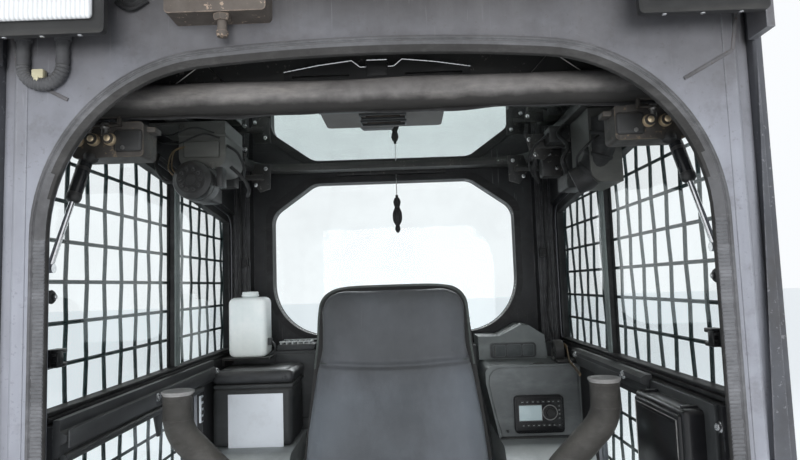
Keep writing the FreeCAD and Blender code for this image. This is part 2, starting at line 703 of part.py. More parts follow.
def port_outline(front):
    """Corners of a lower side opening, as (y, z)."""
    return rectangle((-front, S.port_rear), (S.port_bottom, S.port_top))


def sides(name):
    """The sign and lower opening of each side."""
    return (("left", -1, S.port_front_left), ("right", 1, S.port_front_right))[name == "right"]


def inner_x(sign, depth, thickness):
    """Where a plate starts that lies depth outside the side wall's inner face."""
    start = S.wall_inside + depth
    return start if sign > 0 else -(start + thickness)


def side_wall(side):
    _, sign, port_front = sides(side)
    body = new_body("side_wall_" + side)
    start = inner_x(sign, 0, S.wall_thickness)
    outline = rectangle((FRAME_BACK, REAR_INSIDE), (S.base_height, S.roof_underside))
    pad(body, "Wall" + side, polygon(body, "WallOutline" + side, "YZ", outline, start), S.wall_thickness)
    window = polygon(body, "WallWindow" + side, "YZ", window_outline(), start)
    pocket(body, "WallWindowPocket" + side, window, S.wall_thickness, True)
    corners = window_outline()
    for where, radius, ends in (("Rear", S.window_corner, corners[1:3]),
                                ("Front", S.window_front_corner, corners[::3])):
        soften(body, "WallWindow%sCorners%s" % (where, side), "X", radius,
               lambda p, ends=ends: any(near("y", y, "z", z)(p) for y, z in ends))
    port = polygon(body, "WallPort" + side, "YZ", port_outline(port_front), start)
    pocket(body, "WallPortPocket" + side, port, S.wall_thickness, True)
    port_corners = port_outline(port_front)
    soften(body, "WallPortCorners" + side, "X", S.port_corner,
           lambda p: any(near("y", y, "z", z)(p) for y, z in port_corners))
    lap, (_, bottom), (rear, rear_top), (_, front_top) = S.window_recess_lap, *corners[1:]
    recess = [(FRAME_BACK, corners[0][1]), (rear + lap, bottom), (rear + lap, rear_top + lap),
              (FRAME_BACK, front_top + lap)]
    step = polygon(body, "WallRecess" + side, "YZ", recess, inner_x(sign, 0, S.window_recess))
    pocket(body, "WallRecessPocket" + side, step, S.window_recess, True)


def window_frame(side):
    """The side window's frame with the rail where its two sliding panes meet."""
    _, sign, _ = sides(side)
    body = new_body("window_frame_" + side)
    start = inner_x(sign, S.window_trim_start, S.window_trim_depth)
    outer = window_outline()
    pad(body, "Trim" + side, polygon(body, "TrimOutline" + side, "YZ", outer, start), S.window_trim_depth)
    soften(body, "TrimRearCorners" + side, "X", S.window_corner, near("y", S.window_rear))
    soften(body, "TrimFrontCorners" + side, "X", S.window_front_corner, near("y", -S.window_front))
    inner = window_outline(S.window_trim, S.window_stile)
    rail_front = S.meeting_place - S.meeting_rail / 2
    rail_rear = S.meeting_place + S.meeting_rail / 2
    for name, low, high in pane_spans(inner, rail_front, rail_rear):
        hole = polygon(body, "Trim%s%s" % (name, side), "YZ", pane_outline(inner, low, high), start)
        pocket(body, "Trim%sPocket%s" % (name, side), hole, S.window_trim_depth, True)


def pane_spans(inner, rail_front, rail_rear):
    """The front and rear panes' spans along the cab."""
    return (("Front", inner[0][0], rail_front), ("Rear", rail_rear, inner[1][0]))


def pane_outline(inner, low, high):
    """A pane of the side window between two places along the cab, under the sloping top."""
    (front_y, bottom), (rear_y, _), (_, rear_top), (_, front_top) = inner
    slope = (rear_top - front_top) / (rear_y - front_y)
    return [
        (low, bottom),
        (high, bottom),
        (high, front_top + (high - front_y) * slope),
        (low, front_top + (low - front_y) * slope),
    ]


def side_glass(side):
    """The two sliding panes and the fixed lower pane."""
    _, sign, port_front = sides(side)
    inner = window_outline(S.window_trim, S.window_stile)
    rail_front = S.meeting_place - S.meeting_rail / 2
    rail_rear = S.meeting_place + S.meeting_rail / 2
    panes = []
    depths = {"Front": S.window_trim_start + S.window_trim_depth - 2 * S.glass_thickness,
              "Rear": S.window_trim_start + S.glass_thickness}
    for name, low, high in pane_spans(inner, rail_front, rail_rear):
        start = inner_x(sign, depths[name], S.glass_thickness)
        corners = pane_outline(inner, low, high)
        panes.append(sheet_solid(corners, start, S.glass_thickness))
    port = port_outline(port_front)
    start = inner_x(sign, depths["Rear"], S.glass_thickness)
    lower = sheet_solid(port, start, S.glass_thickness)
    edges = [edge for edge in lower.Edges if along(edge, "X")]
    panes.append(lower.makeFillet(float(S.port_corner), edges))
    glass = doc.addObject("Part::Feature", "side_glass_" + side)
    glass.Shape = Part.makeCompound(panes)
    keep(glass, "side_glass_" + side)


def sheet_solid(corners, start, thickness):
    """A flat sheet through (y, z) corners, from x = start."""
    points = [FreeCAD.Vector(float(start), float(y), float(z)) for y, z in corners]
    face = Part.Face(Part.makePolygon(points + points[:1]))
    return face.extrude(FreeCAD.Vector(float(thickness), 0, 0))


def guard(side):
    """The welded guard outside a wall's openings: a rim and crossing strands."""
    _, sign, _ = sides(side)
    start = float(inner_x(sign, S.wall_thickness + S.guard_gap, S.guard_wire))
    wire, rim, pitch = float(S.guard_wire), float(S.guard_rim), float(S.guard_pitch)
    lap = float(S.guard_overlap)
    front, rear = float(FRAME_BACK), float(S.window_rear) + lap
    bottom = float(S.port_bottom) - lap
    front_top, rear_top = float(S.window_front_top) + lap, float(S.window_rear_top) + lap

    def top_at(y):
        return front_top + (y - front) * (rear_top - front_top) / (rear - front)

    outline = [(front, bottom), (rear, bottom), (rear, rear_top), (front, front_top)]
    panel = sheet_solid(outline, start, wire)
    inset = [(front + rim, bottom + rim), (rear - rim, bottom + rim),
             (rear - rim, top_at(rear) - rim), (front + rim, top_at(front) - rim)]
    ring = panel.cut(sheet_solid(inset, start, wire))
    strands = []
    places = int((rear - front) / pitch)
    margin = ((rear - front) - (places - 1) * pitch) / 2
    for i in range(places):
        y = front + margin + i * pitch
        strands.append(Part.makeBox(wire, wire, top_at(y) - bottom, FreeCAD.Vector(start, y - wire / 2, bottom)))
    levels = int((front_top - bottom) / pitch)
    for i in range(levels):
        z = bottom + pitch * (i + 0.75)
        strands.append(Part.makeBox(wire, rear - front, wire, FreeCAD.Vector(start, front, z - wire / 2)))
    grid = strands[0].multiFuse(strands[1:]).common(panel)
    mesh = doc.addObject("Part::Feature", "side_guard_" + side)
    mesh.Shape = ring.fuse(grid).removeSplitter()
    keep(mesh, "side_guard_" + side)


def rear_outline(inset=0):
    """Corners of the rear window opening, as (x, z), with the radius at each."""
    half = S.rear_window_half - inset
    top = S.rear_window_top - inset
    bottom = S.rear_window_bottom + inset
    shoulder = half - S.rear_window_bevel_x
    low, high = S.rear_window_corner - inset, S.rear_window_round
    return [
        (-half, bottom, low), (half, bottom, low), (half, top - S.rear_window_bevel_z, high),
        (shoulder, top, high), (-shoulder, top, high), (-half, top - S.rear_window_bevel_z, high),
    ]


def round_outline(body, name, corners):
    """Rounds the corners of an opening cut along Y."""
    for radius_name, chosen in (("Low", corners[:2]), ("High", corners[2:])):
        radius = chosen[0][2]
        soften(body, name + radius_name, "Y", radius,
               lambda p, chosen=chosen: any(near("x", x, "z", z)(p) for x, z, _ in chosen))


def rear_wall():
    body = new_body("rear_wall")
    outline = rectangle((-WALL_OUTSIDE, WALL_OUTSIDE), (S.base_height, S.roof_underside))
    pad(body, "RearWall", polygon(body, "RearWallOutline", "XZ", outline, -S.rear_reach), S.wall_thickness)
    corners = rear_outline()
    window = polygon(body, "RearWindow", "XZ", [(x, z) for x, z, _ in corners], -REAR_INSIDE)
    pocket(body, "RearWindowPocket", window, S.wall_thickness)
    round_outline(body, "RearWindowRound", corners)
    top = S.roof_underside - S.headliner_thickness
    for sign, name in ((-1, "Left"), (1, "Right")):
        post = polygon(body, "RearPost" + name, "XY", [(sign * x, y) for x, y in post_outline()], S.shelf_top)
        pad(body, "RearPostPad" + name, post, top - S.shelf_top)


def post_outline():
    """The right rear corner post seen from above, its front face grooved, as (x, y)."""
    inner, front = S.wall_inside - S.post_width, REAR_INSIDE - S.post_depth
    groove, depth = S.post_groove, S.post_groove_depth
    corners = [(inner, REAR_INSIDE), (inner, front)]
    for number in range(int(float(S.post_width) / float(groove) / 2)):
        start = inner + groove * (2 * number + 1)
        end = start + groove
        corners += [(start, front), (start, front + depth), (end, front + depth)]
        if float(end) < float(S.wall_inside) - 0.01:
            corners.append((end, front))
    if float(end) < float(S.wall_inside) - 0.01:
        corners.append((S.wall_inside, front))
    return corners + [(S.wall_inside, REAR_INSIDE)]


def rear_window():
    """The rear window's rubber seal and its pane."""
    stand = S.rear_seal_stand
    whole = new_body("RearSealBody", False)
    corners = rear_outline()
    outline = polygon(whole, "RearSeal", "XZ", [(x, z) for x, z, _ in corners], -S.rear_reach - stand)
    pad(whole, "RearSealPad", outline, S.wall_thickness + 2 * stand)
    round_outline(whole, "RearSealRound", corners)
    middle_body = new_body("RearSealMiddle", False)
    inner = rear_outline(S.rear_seal_width)
    hole = polygon(middle_body, "RearSealHole", "XZ", [(x, z) for x, z, _ in inner], -S.rear_reach - stand)
    pad(middle_body, "RearSealHolePad", hole, S.wall_thickness + 2 * stand)
    round_outline(middle_body, "RearSealHoleRound", inner)
    keep(less("RearSealRing", whole, middle_body), "rear_window_seal")
    glass = new_body("rear_window_glass")
    middle = (S.rear_reach + REAR_INSIDE + S.glass_thickness) / 2
    pane = polygon(glass, "RearPane", "XZ", [(x, z) for x, z, _ in inner], -middle)
    pad(glass, "RearPanePad", pane, S.glass_thickness)
    round_outline(glass, "RearPaneRound", inner)


def roof():
    body = new_body("roof_panel")
    front = FRAME_FRONT - S.visor_reach
    wide = (-S.cab_half_width, S.cab_half_width)
    outline = polygon(body, "RoofOutline", "XY", rectangle(wide, (front, S.rear_reach)), S.roof_underside)
    pad(body, "RoofPad", outline, S.roof_thickness)
    soften(body, "RoofCorners", "Z", S.roof_corner)
    soften(body, "RoofSides", "Y", S.frame_edge, near("z", ROOF_TOP))
    rib_half = S.roof_rib_width / 2
    ribs = (FRAME_FRONT + S.roof_rib_margin, S.rear_reach - S.roof_rib_margin)
    for number in (-1, 0, 1):
        middle = S.roof_rib_pitch * number
        rib = polygon(body, "RoofRib%d" % (number + 1), "XY",
                      rectangle((middle - rib_half, middle + rib_half), ribs), ROOF_TOP)
        pad(body, "RoofRibPad%d" % (number + 1), rib, S.roof_rib_height)
    for sign, name in ((-1, "Left"), (1, "Right")):
        outer = sign * S.cab_half_width
        inner = sign * (S.cab_half_width - S.cheek_thickness)
        low, high = (outer, inner) if sign < 0 else (inner, outer)
        cheek = polygon(body, "VisorCheek" + name, "XY", rectangle((low, high), (front + 6, FRAME_FRONT)),
                        S.roof_underside)
        pad(body, "VisorCheekPad" + name, cheek, S.cheek_drop, True)


def lining():
    """The lining under the roof, between the walls."""
    keep(block("RoofLining", (-S.wall_inside, S.wall_inside), (FRAME_BACK, REAR_INSIDE),
               (LINING_UNDERSIDE, S.roof_underside)), "roof_lining")


def base_frame():
    """The base frame with its tilt lugs and front hold-down holes."""
    body = new_body("base_frame")
    outer = rectangle((-WALL_OUTSIDE, WALL_OUTSIDE), (FRAME_BACK, S.rear_reach))
    pad(body, "BasePad", polygon(body, "BaseOutline", "XY", outer), S.base_height)
    inner_half = WALL_OUTSIDE - S.rail_width
    middle = rectangle((-inner_half, inner_half), (FRAME_BACK + S.cross_width, S.rear_reach - S.cross_width))
    pocket(body, "BaseMiddlePocket", polygon(body, "BaseMiddle", "XY", middle), S.base_height, True)
    lug_half = S.lug_width / 2
    for sign, name in ((-1, "Left"), (1, "Right")):
        lug = rectangle((sign * S.lug_place - lug_half, sign * S.lug_place + lug_half),
                        (S.rear_reach, S.rear_reach + S.lug_reach))
        pad(body, "Lug" + name, polygon(body, "LugOutline" + name, "XY", lug), S.base_height)
    soften(body, "LugRound", "X", S.base_height / 2 - 2, near("y", S.rear_reach + S.lug_reach))
    hole = new_sketch(body, "LugBore", "YZ", -S.lug_place - lug_half)
    circle = Part.Circle(FreeCAD.Vector(0, 0, 0), FreeCAD.Vector(0, 0, 1), S.lug_bore.value)
    circle.Center = FreeCAD.Vector(float(S.rear_reach + S.lug_bore_reach), float(S.lug_bore_height), 0)
    hole.addGeometry(circle, False)
    dimension(hole, "Radius", 0, S.lug_bore)
    dimension(hole, "DistanceX", -1, 1, 0, 3, S.rear_reach + S.lug_bore_reach)
    dimension(hole, "DistanceY", -1, 1, 0, 3, S.lug_bore_height)
    pocket(body, "LugBorePocket", hole, 2 * S.lug_place + S.lug_width, True)
    bolts = new_sketch(body, "BoltHoles", "XY")
    add_bolt_circles(bolts)
    pocket(body, "BoltHolesPocket", bolts, S.base_height, True)


def add_bolt_circles(sketch):
    """The two front hold-down holes."""
    for number, sign in enumerate((-1, 1)):
        centre = FreeCAD.Vector(float(sign * S.bolt_place), -float(S.bolt_reach), 0)
        sketch.addGeometry(Part.Circle(centre, FreeCAD.Vector(0, 0, 1), float(S.bolt_radius)), False)
        dimension(sketch, "Radius", number, S.bolt_radius)
        dimension(sketch, "DistanceX", -1, 1, number, 3, sign * S.bolt_place)
        dimension(sketch, "DistanceY", -1, 1, number, 3, -S.bolt_reach)


def floor_plate():
    body = new_body("floor_plate")
    outline = rectangle((-S.wall_inside, S.wall_inside), (FRAME_BACK, REAR_INSIDE))
    pad(body, "FloorPad", polygon(body, "FloorOutline", "XY", outline, S.base_height), S.floor_thickness)
    bolts = new_sketch(body, "FloorBoltHoles", "XY", S.base_height)
    add_bolt_circles(bolts)
    pocket(body, "FloorBoltPocket", bolts, S.floor_thickness, True)


# Door stowed under the roof

def stowed_door():
    body = new_body("stowed_door_frame")
    half, rim = S.stowed_half_width, S.stowed_rim
    lip_back = -S.stowed_front + S.lip_thickness
    ring = polygon(body, "DoorRing", "XY", rectangle((-half, half), (-S.stowed_front, S.stowed_rear)),
                   S.stowed_height)
    pad(body, "DoorRingPad", ring, S.stowed_thickness)
    soften(body, "DoorRingCorners", "Z", S.stowed_corner, near("y", S.stowed_rear))
    inner = rectangle((-half + rim, half - rim), (-S.stowed_front + rim, S.stowed_rear - rim))
    hole = polygon(body, "DoorRingHole", "XY", inner, S.stowed_height)
    pocket(body, "DoorRingHolePocket", hole, S.stowed_thickness, True)
    soften(body, "DoorRingHoleCorners", "Z", S.stowed_corner - rim, near("y", S.stowed_rear - rim))
    lip = polygon(body, "DoorLip", "XZ", rectangle((-half, half), (S.lip_bottom, S.stowed_height)), -lip_back)
    pad(body, "DoorLipPad", lip, S.lip_thickness)
    glass = new_body("stowed_door_glass")
    pane = polygon(glass, "DoorPane", "XY", inner, S.stowed_glass_height)
    pad(glass, "DoorPanePad", pane, S.glass_thickness)
    soften(glass, "DoorPaneCorners", "Z", S.stowed_corner - rim, near("y", S.stowed_rear - rim))


def door_handle():
    """The handle on the stowed door's front lip: sloping shoulders, two notches and finger recesses."""
    body = new_body("door_handle")
    bottom = S.bulb_height + S.bulb_radius + S.handle_gap
    top = bottom + S.handle_rise
    shoulder = top - S.handle_shoulder
    half, crest, notch = S.handle_half, S.handle_crest, S.handle_notch
    right = [(notch - 4, top), (notch - 4, shoulder), (notch + 4, shoulder), (crest, top), (half, shoulder - 4)]
    left = [(-x, z) for x, z in reversed(right)]
    outline = left + right + [(half, bottom), (-half, bottom)]
    pad(body, "HandlePad", polygon(body, "HandleOutline", "XZ", outline, S.stowed_front), S.handle_thickness)
    for sign, name in ((-1, "Left"), (1, "Right")):
        recess = rectangle((sign * (crest + 4), sign * (half - 12)), (bottom + 3, shoulder - 10))
        sketch = polygon(body, "HandleRecess" + name, "XZ", recess, S.stowed_front + S.handle_thickness)
        pocket(body, "HandleRecessPocket" + name, sketch, S.handle_recess)


def bulb_seal():
    reach = S.wall_inside - S.bulb_clearance
    bar = rod("BulbSeal", S.bulb_radius, 2 * reach,
              (-reach, -S.stowed_front - S.bulb_radius, S.bulb_height), "X")
    keep(bar, "door_bulb_seal")


def latch_cover():
    """The latch cover under the stowed door's pane, with its two finger slots."""
    top = S.stowed_glass_height
    rear = -S.latch_front + S.latch_length
    cover = block("LatchPlate", (-S.latch_half, S.latch_half), (-S.latch_front, rear),
                  (top - S.latch_thickness, top))
    soft = rounded("LatchRounded", cover, "Z", S.latch_thickness / 2)
    slot_half = S.latch_slot_length / 2
    slots = []
    for number, share in enumerate((0.3, 0.68)):
        middle = -S.latch_front + S.latch_length * share
        slots.append(block("LatchSlot%d" % number, (-slot_half, slot_half),
                           (middle - S.latch_slot_width / 2, middle + S.latch_slot_width / 2),
                           (top - S.latch_thickness, top - S.latch_thickness / 2)))
    keep(less("LatchCover", soft, fused("LatchSlots", *slots)), "door_latch_cover")


def door_rail():
    """The channel that guides the door along the right side of the roof."""
    inner = S.wall_inside - S.rail_depth
    outer = block("RailBar", (inner, S.wall_inside), (FRAME_BACK, REAR_INSIDE - S.cross_width),
                  (S.rail_bottom, S.rail_bottom + S.rail_height))
    third = S.rail_height / 3
    groove = block("RailGroove", (inner, S.wall_inside - S.rail_depth / 3),
                   (FRAME_BACK, REAR_INSIDE - S.cross_width),
                   (S.rail_bottom + third, S.rail_bottom + 2 * third))
    pair(less("RailChannel", outer, groove), "door_rails")


def door_hangers():
    """The hangers on the stowed door, each with a roller in the rail's groove."""
    inner = S.wall_inside - S.rail_depth - S.hanger_clearance
    height = S.rail_bottom + S.rail_height / 2
    radius = S.rail_height / 6 - S.roller_clearance
    pieces = []
    for number, middle in enumerate((-S.hanger_front, S.hanger_rear)):
        half = S.hanger_length / 2
        pieces.append(block("Hanger%d" % number, (S.stowed_half_width - S.stowed_rim, inner),
                            (middle - half, middle + half),
                            (S.stowed_height + S.stowed_thickness, height + radius)))
        pieces.append(rod("HangerRoller%d" % number, radius, S.rail_depth / 2 + S.hanger_clearance,
                          (inner, middle, height), "X"))
    pair(fused("Hangers", *pieces), "door_hangers")


def roller_carriage():
    """The right roller carriage: its block, hanger and three studs."""
    outside = S.wall_inside
    inside = outside - S.carriage_width
    front = -S.carriage_front
    top = S.carriage_bottom + S.carriage_height
    body = block("CarriageBlock", (inside, outside), (front, front + S.carriage_length),
                 (S.carriage_bottom, top))
    hanger = block("CarriageHanger", (outside - S.rail_depth, outside),
                   (-S.stowed_front + S.carriage_clearance, front + S.carriage_length), (top, S.rail_bottom))
    studs = []
    for number in range(3):
        x = outside - S.stud_edge - S.stud_pitch * number
        studs.append(rod("CarriageStud%d" % number, S.stud_radius, S.stud_length,
                         (x, front - S.stud_length, S.carriage_bottom + S.carriage_height / 2), "Y"))
    pair(fused("Carriage", rounded("CarriageRounded", body, "Y", 6), hanger, *studs), "roller_carriages")


def gas_strut():
    """The right gas strut: the cylinder hangs from the carriage, the rod's stud sits in the doorway's edge."""
    radius = float(S.pivot_radius)
    top = FreeCAD.Vector(float(S.strut_place), -float(S.carriage_front - S.strut_setback), float(S.strut_top))
    low_x, low_y = float(S.strut_bottom_place), float(FRAME_FRONT + S.strut_bottom_setback)
    bottom = FreeCAD.Vector(low_x, low_y, float(S.strut_bottom))
    run = bottom - top
    share = float(S.strut_share)
    cylinder = Part.makeCylinder(float(S.strut_radius), run.Length * share, top, run)
    eye = Part.makeCylinder(radius, 2 * float(S.strut_eye), top - FreeCAD.Vector(0, 0, float(S.strut_eye)))
    slim = Part.makeCylinder(float(S.strut_rod_radius), run.Length * (1 - share), top + run * share, run)
    across = FreeCAD.Vector(1, 0, 0)
    stud = Part.makeCylinder(radius, float(S.strut_jamb_gap) + radius, bottom - across * radius, across)
    for name, label, shape in (("StrutCylinder", "strut_cylinders", cylinder.fuse(eye)),
                               ("StrutRod", "strut_rods", slim.fuse(stud))):
        strut = doc.addObject("Part::Feature", name)
        strut.Shape = shape
        pair(strut, label)


# Lamps and small pieces outside

def work_lamp():
    """The right work lamp: a rounded housing and its lens."""
    middle, half = S.lamp_place, S.lamp_half
    front = FRAME_FRONT - S.lamp_reach
    top = S.lamp_bottom + S.lamp_height
    housing = block("LampBlock", (middle - half, middle + half), (front, FRAME_FRONT), (S.lamp_bottom, top))
    soft = rounded("LampRounded", housing, "Y", S.lamp_corner)
    rim = S.lens_rim
    recess = block("LampRecess", (middle - half + rim, middle + half - rim), (front, front + S.lens_depth),
                   (S.lamp_bottom + rim, top - rim))
    lens = block("LampLens", (middle - half + rim, middle + half - rim), (front, front + S.lens_depth),
                 (S.lamp_bottom + rim, top - rim))
    inner_round = S.lamp_corner - rim + 2
    pair(less("LampHousing", soft, rounded("LampRecessRound", recess, "Y", inner_round)), "work_lamps")
    pair(rounded("LampLensRound", lens, "Y", inner_round), "work_lamp_lenses")


def header_bracket():
    """The bracket on the header with its hanging pin."""
    middle = -S.striker_place
    front = FRAME_FRONT - S.striker_reach
    plate = block("StrikerPlate", (middle - S.striker_half, middle + S.striker_half), (front, FRAME_FRONT),
                  (S.striker_bottom, S.striker_bottom + S.striker_height))
    pin = rod("StrikerPin", S.striker_pin_radius, S.striker_pin_length + S.striker_height / 2,
              (middle + S.striker_pin_radius, front + 2 * S.striker_pin_radius,
               S.striker_bottom - S.striker_pin_length), "Z")
    keep(fused("StrikerBracket", rounded("StrikerRounded", plate, "Y", 6), pin), "header_bracket")


def conduit():
    """The left lamp's lead in its conduit: down from the lamp, round and back up."""
    bend, radius = float(S.conduit_bend), float(S.conduit_radius)
    middle = -float(S.conduit_place)
    y = float(FRAME_FRONT) - radius
    low = float(S.conduit_bottom) + radius + bend
    high = float(S.lamp_bottom)
    outer, inner = middle - bend, middle + bend
    section = Part.Face(Part.Wire(Part.makeCircle(radius, FreeCAD.Vector(outer, y, low), FreeCAD.Vector(0, 0, 1))))
    turn = section.revolve(FreeCAD.Vector(middle, y, low), FreeCAD.Vector(0, -1, 0), 180)
    legs = [Part.makeCylinder(radius, high - low, FreeCAD.Vector(x, y, low)) for x in (outer, inner)]
    loop = doc.addObject("Part::Feature", "lamp_conduit")
    loop.Shape = turn.multiFuse(legs)
    keep(loop, "lamp_conduit")


# Consoles and fittings inside

def side_console():
    """The right side console, with its front edges rounded."""
    body = block("ConsoleBlock", (S.console_inside, S.wall_inside), (-S.console_front, -S.shelf_front),
                 (FLOOR, S.console_top))
    front = near("y", -S.console_front)
    pair(rounded("ConsoleRounded", body, "X", S.console_edge,
                 lambda p: front(p) and p.z > float(S.console_top) - 1), "side_consoles")


def rear_console():
    keep(block("RearConsole", (-S.wall_inside, S.wall_inside), (-S.shelf_front, REAR_INSIDE),
               (FLOOR, S.shelf_top)), "rear_console")


def tier_outline(low):
    """The right dash's upper tier seen from the front, from a height up to its peak, as (x, z)."""
    inside, outside, top = S.dash_inside, S.upper_tier_outside, S.upper_tier_top
    return [
        (inside, low),
        (outside, low),
        (outside - S.peak_lean, top),
        (outside - S.peak_outer, top + S.peak_rise),
        (outside - S.peak_inner, top + S.peak_rise),
        (outside - S.peak_foot, top),
        (inside, top),
    ]


def right_dash():
    """The right dash: a flared lower tier, an upper tier with its peak, and the radio in the lower face."""
    body = new_body("right_dash")
    inside, low, top = S.dash_inside, S.console_top, S.radio_panel_top
    flared = [(S.console_inside, low), (S.wall_inside, low), (S.wall_inside, top), (inside, top),
              (inside, top - S.dash_shoulder)]
    lower = polygon(body, "DashLower", "XZ", flared, S.shelf_front)
    pad(body, "DashLowerPad", lower, S.radio_panel_front - S.shelf_front)
    soften(body, "DashLowerRound", "Y", S.dash_round, near("x", inside, "z", top))
    upper = polygon(body, "DashUpper", "XZ", tier_outline(top), S.shelf_front)
    pad(body, "DashUpperPad", upper, S.upper_tier_front - S.shelf_front)
    back_end = -REAR_INSIDE + S.rear_seal_stand
    back = polygon(body, "DashBack", "XZ", tier_outline(S.shelf_top), back_end)
    pad(body, "DashBackPad", back, S.shelf_front - back_end)
    low, high = S.radio_height - S.radio_tall / 2, S.radio_height + S.radio_tall / 2
    face = block("RadioBlock", (S.radio_place - S.radio_half, S.radio_place + S.radio_half),
                 (-S.radio_panel_front - S.radio_stand, -S.radio_panel_front), (low, high))
    keep(rounded("RadioRounded", face, "Y", 12), "radio")


def storage_box():
    """The storage box on the left console and its cover."""
    x = (-S.wall_inside, -S.box_inside)
    y = (-S.box_front, -S.box_front + S.box_depth)
    body = block("BoxBlock", x, y, (S.console_top, S.box_top))
    keep(rounded("BoxRounded", body, "Z", S.box_corner, near("y", -S.box_front)), "storage_box")
    lid = block("BoxLidBlock", x, y, (S.box_top, S.box_top + S.box_cover))
    soft = rounded("BoxLidCorners", lid, "Z", S.box_corner, near("y", -S.box_front))
    keep(rimmed("BoxLid", soft, S.box_cover_round, S.box_top + S.box_cover), "storage_box_cover")


def washer_bottle():
    """The washer bottle, its cap and the bracket it stands on."""
    middle, half = -S.bottle_place, S.bottle_half
    y = (-S.bottle_front, -S.bottle_front + S.bottle_depth)
    base = S.bracket_height
    body = block("BottleBlock", (middle - half, middle + half), y, (base, base + S.bottle_height))
    soft = rounded("BottleSides", body, "Z", S.bottle_corner)
    keep(rimmed("BottleEnds", soft, S.bottle_corner * 0.7, base, base + S.bottle_height), "washer_bottle")
    centre_y = -S.bottle_front + S.bottle_depth / 2
    cap = rod("BottleCap", S.bottle_neck, S.bottle_cap_height, (middle, centre_y, base + S.bottle_height), "Z")
    keep(cap, "washer_bottle_cap")
    plate = block("BottlePlate", (-S.wall_inside, middle + half), (-S.bottle_front - 4, -S.shelf_front),
                  (base - S.bracket_thickness, base))
    leg = block("BottleLeg", (-S.wall_inside, -S.wall_inside + S.bracket_thickness),
                (-S.bottle_front - 4, -S.shelf_front), (S.box_top + S.box_cover, base))
    keep(fused("BottleBracket", plate, leg), "bottle_bracket")


def display():
    """The display on the right wall, ahead of the lower opening."""
    y = (-S.display_front, -S.display_front + S.display_length)
    body = block("DisplayBlock", (S.wall_inside - S.display_thickness, S.wall_inside), y,
                 (S.display_bottom, S.display_top))
    keep(rounded("DisplayRounded", body, "X", S.display_corner), "display")


def overhead_fittings():
    """The housing and blower motor at the upper left, and the duct at the upper right."""
    y = (-S.housing_front, -S.housing_front + S.housing_length)
    inside = -S.housing_inside
    body = block("HousingBlock", (inside - S.housing_width, inside), y, (S.housing_bottom, S.housing_top))
    low = near("z", S.housing_bottom)
    flange = block("HousingFlange", (-S.wall_inside, inside - S.housing_width), y,
                   (S.housing_top - S.bracket_thickness, S.housing_top))
    soft = rounded("HousingRounded", body, "Y", S.housing_corner, low)
    keep(fused("HousingFlanged", soft, flange), "overhead_housing")
    motor_front = -S.housing_front - S.motor_length
    motor = rod("BlowerMotor", S.motor_radius, S.motor_length, (-S.motor_place, motor_front, S.motor_height), "Y")
    strap_half = S.motor_radius / 3
    strap = block("MotorStrap", (-S.motor_place - strap_half, -S.motor_place + strap_half),
                  (-S.housing_front, -S.housing_front + S.motor_radius),
                  (S.housing_bottom - S.bracket_thickness, S.housing_bottom))
    keep(fused("BlowerUnit", motor, strap), "blower_motor")
    duct = block("DuctBlock", (S.wall_inside - S.duct_width, S.wall_inside), y, (S.duct_bottom, S.housing_top))
    duct_low = near("z", S.duct_bottom)
    keep(rounded("DuctRounded", duct, "Y", S.housing_corner,
                 lambda p: duct_low(p) and p.x < float(S.wall_inside) - 1), "overhead_duct")


def belt_rails():
    """The stepped rail under each side window, from the front frame back to the box or the dash."""
    bottom, depth = S.belt_rail_bottom, S.belt_rail_depth
    inner, wall = S.wall_inside - depth, S.wall_inside
    third = S.belt_rail_height / 6
    bodies = []
    for sign, name, front, rear in ((-1, "Left", FRAME_BACK, S.belt_rail_end),
                                    (1, "Right", -S.display_front + S.display_length + S.belt_rail_setback,
                                     -S.radio_panel_front)):
        low = bottom if sign < 0 else S.radio_panel_top + S.belt_rail_gap
        outline = [(wall, low), (wall - depth / 3, low), (wall - depth / 2, low + third),
                   (wall - depth / 2, low + 2 * third), (inner, low + 2.6 * third), (inner, low + 3.6 * third),
                   (wall - depth / 2, low + 4.2 * third), (wall - depth / 2, bottom + 6 * third),
                   (wall, bottom + 6 * third)]
        body = new_body("BeltRail" + name, False)
        sketch = polygon(body, "BeltRailOutline" + name, "XZ", [(sign * x, z) for x, z in outline], -rear)
        pad(body, "BeltRailPad" + name, sketch, rear - front)
        bodies.append(body)
    both = doc.addObject("Part::Compound", "BeltRails")
    both.Links = bodies
    keep(both, "belt_rails")


def window_latch():
    """The right side window's latch, on the front of its frame."""
    face = S.wall_inside + S.window_trim_start
    low = S.window_latch_height - S.window_latch_tall / 2
    front = -S.window_front
    base = block("LatchBase", (face - S.window_latch_stand / 2, face), (front, front + S.window_latch_length),
                 (low, low + S.window_latch_tall))
    tab = block("LatchTab", (face - S.window_latch_stand, face - S.window_latch_stand / 2),
                (front, front + S.window_latch_length / 3), (low, low + S.window_latch_tall))
    pair(fused("WindowLatch", base, tab), "window_latches")


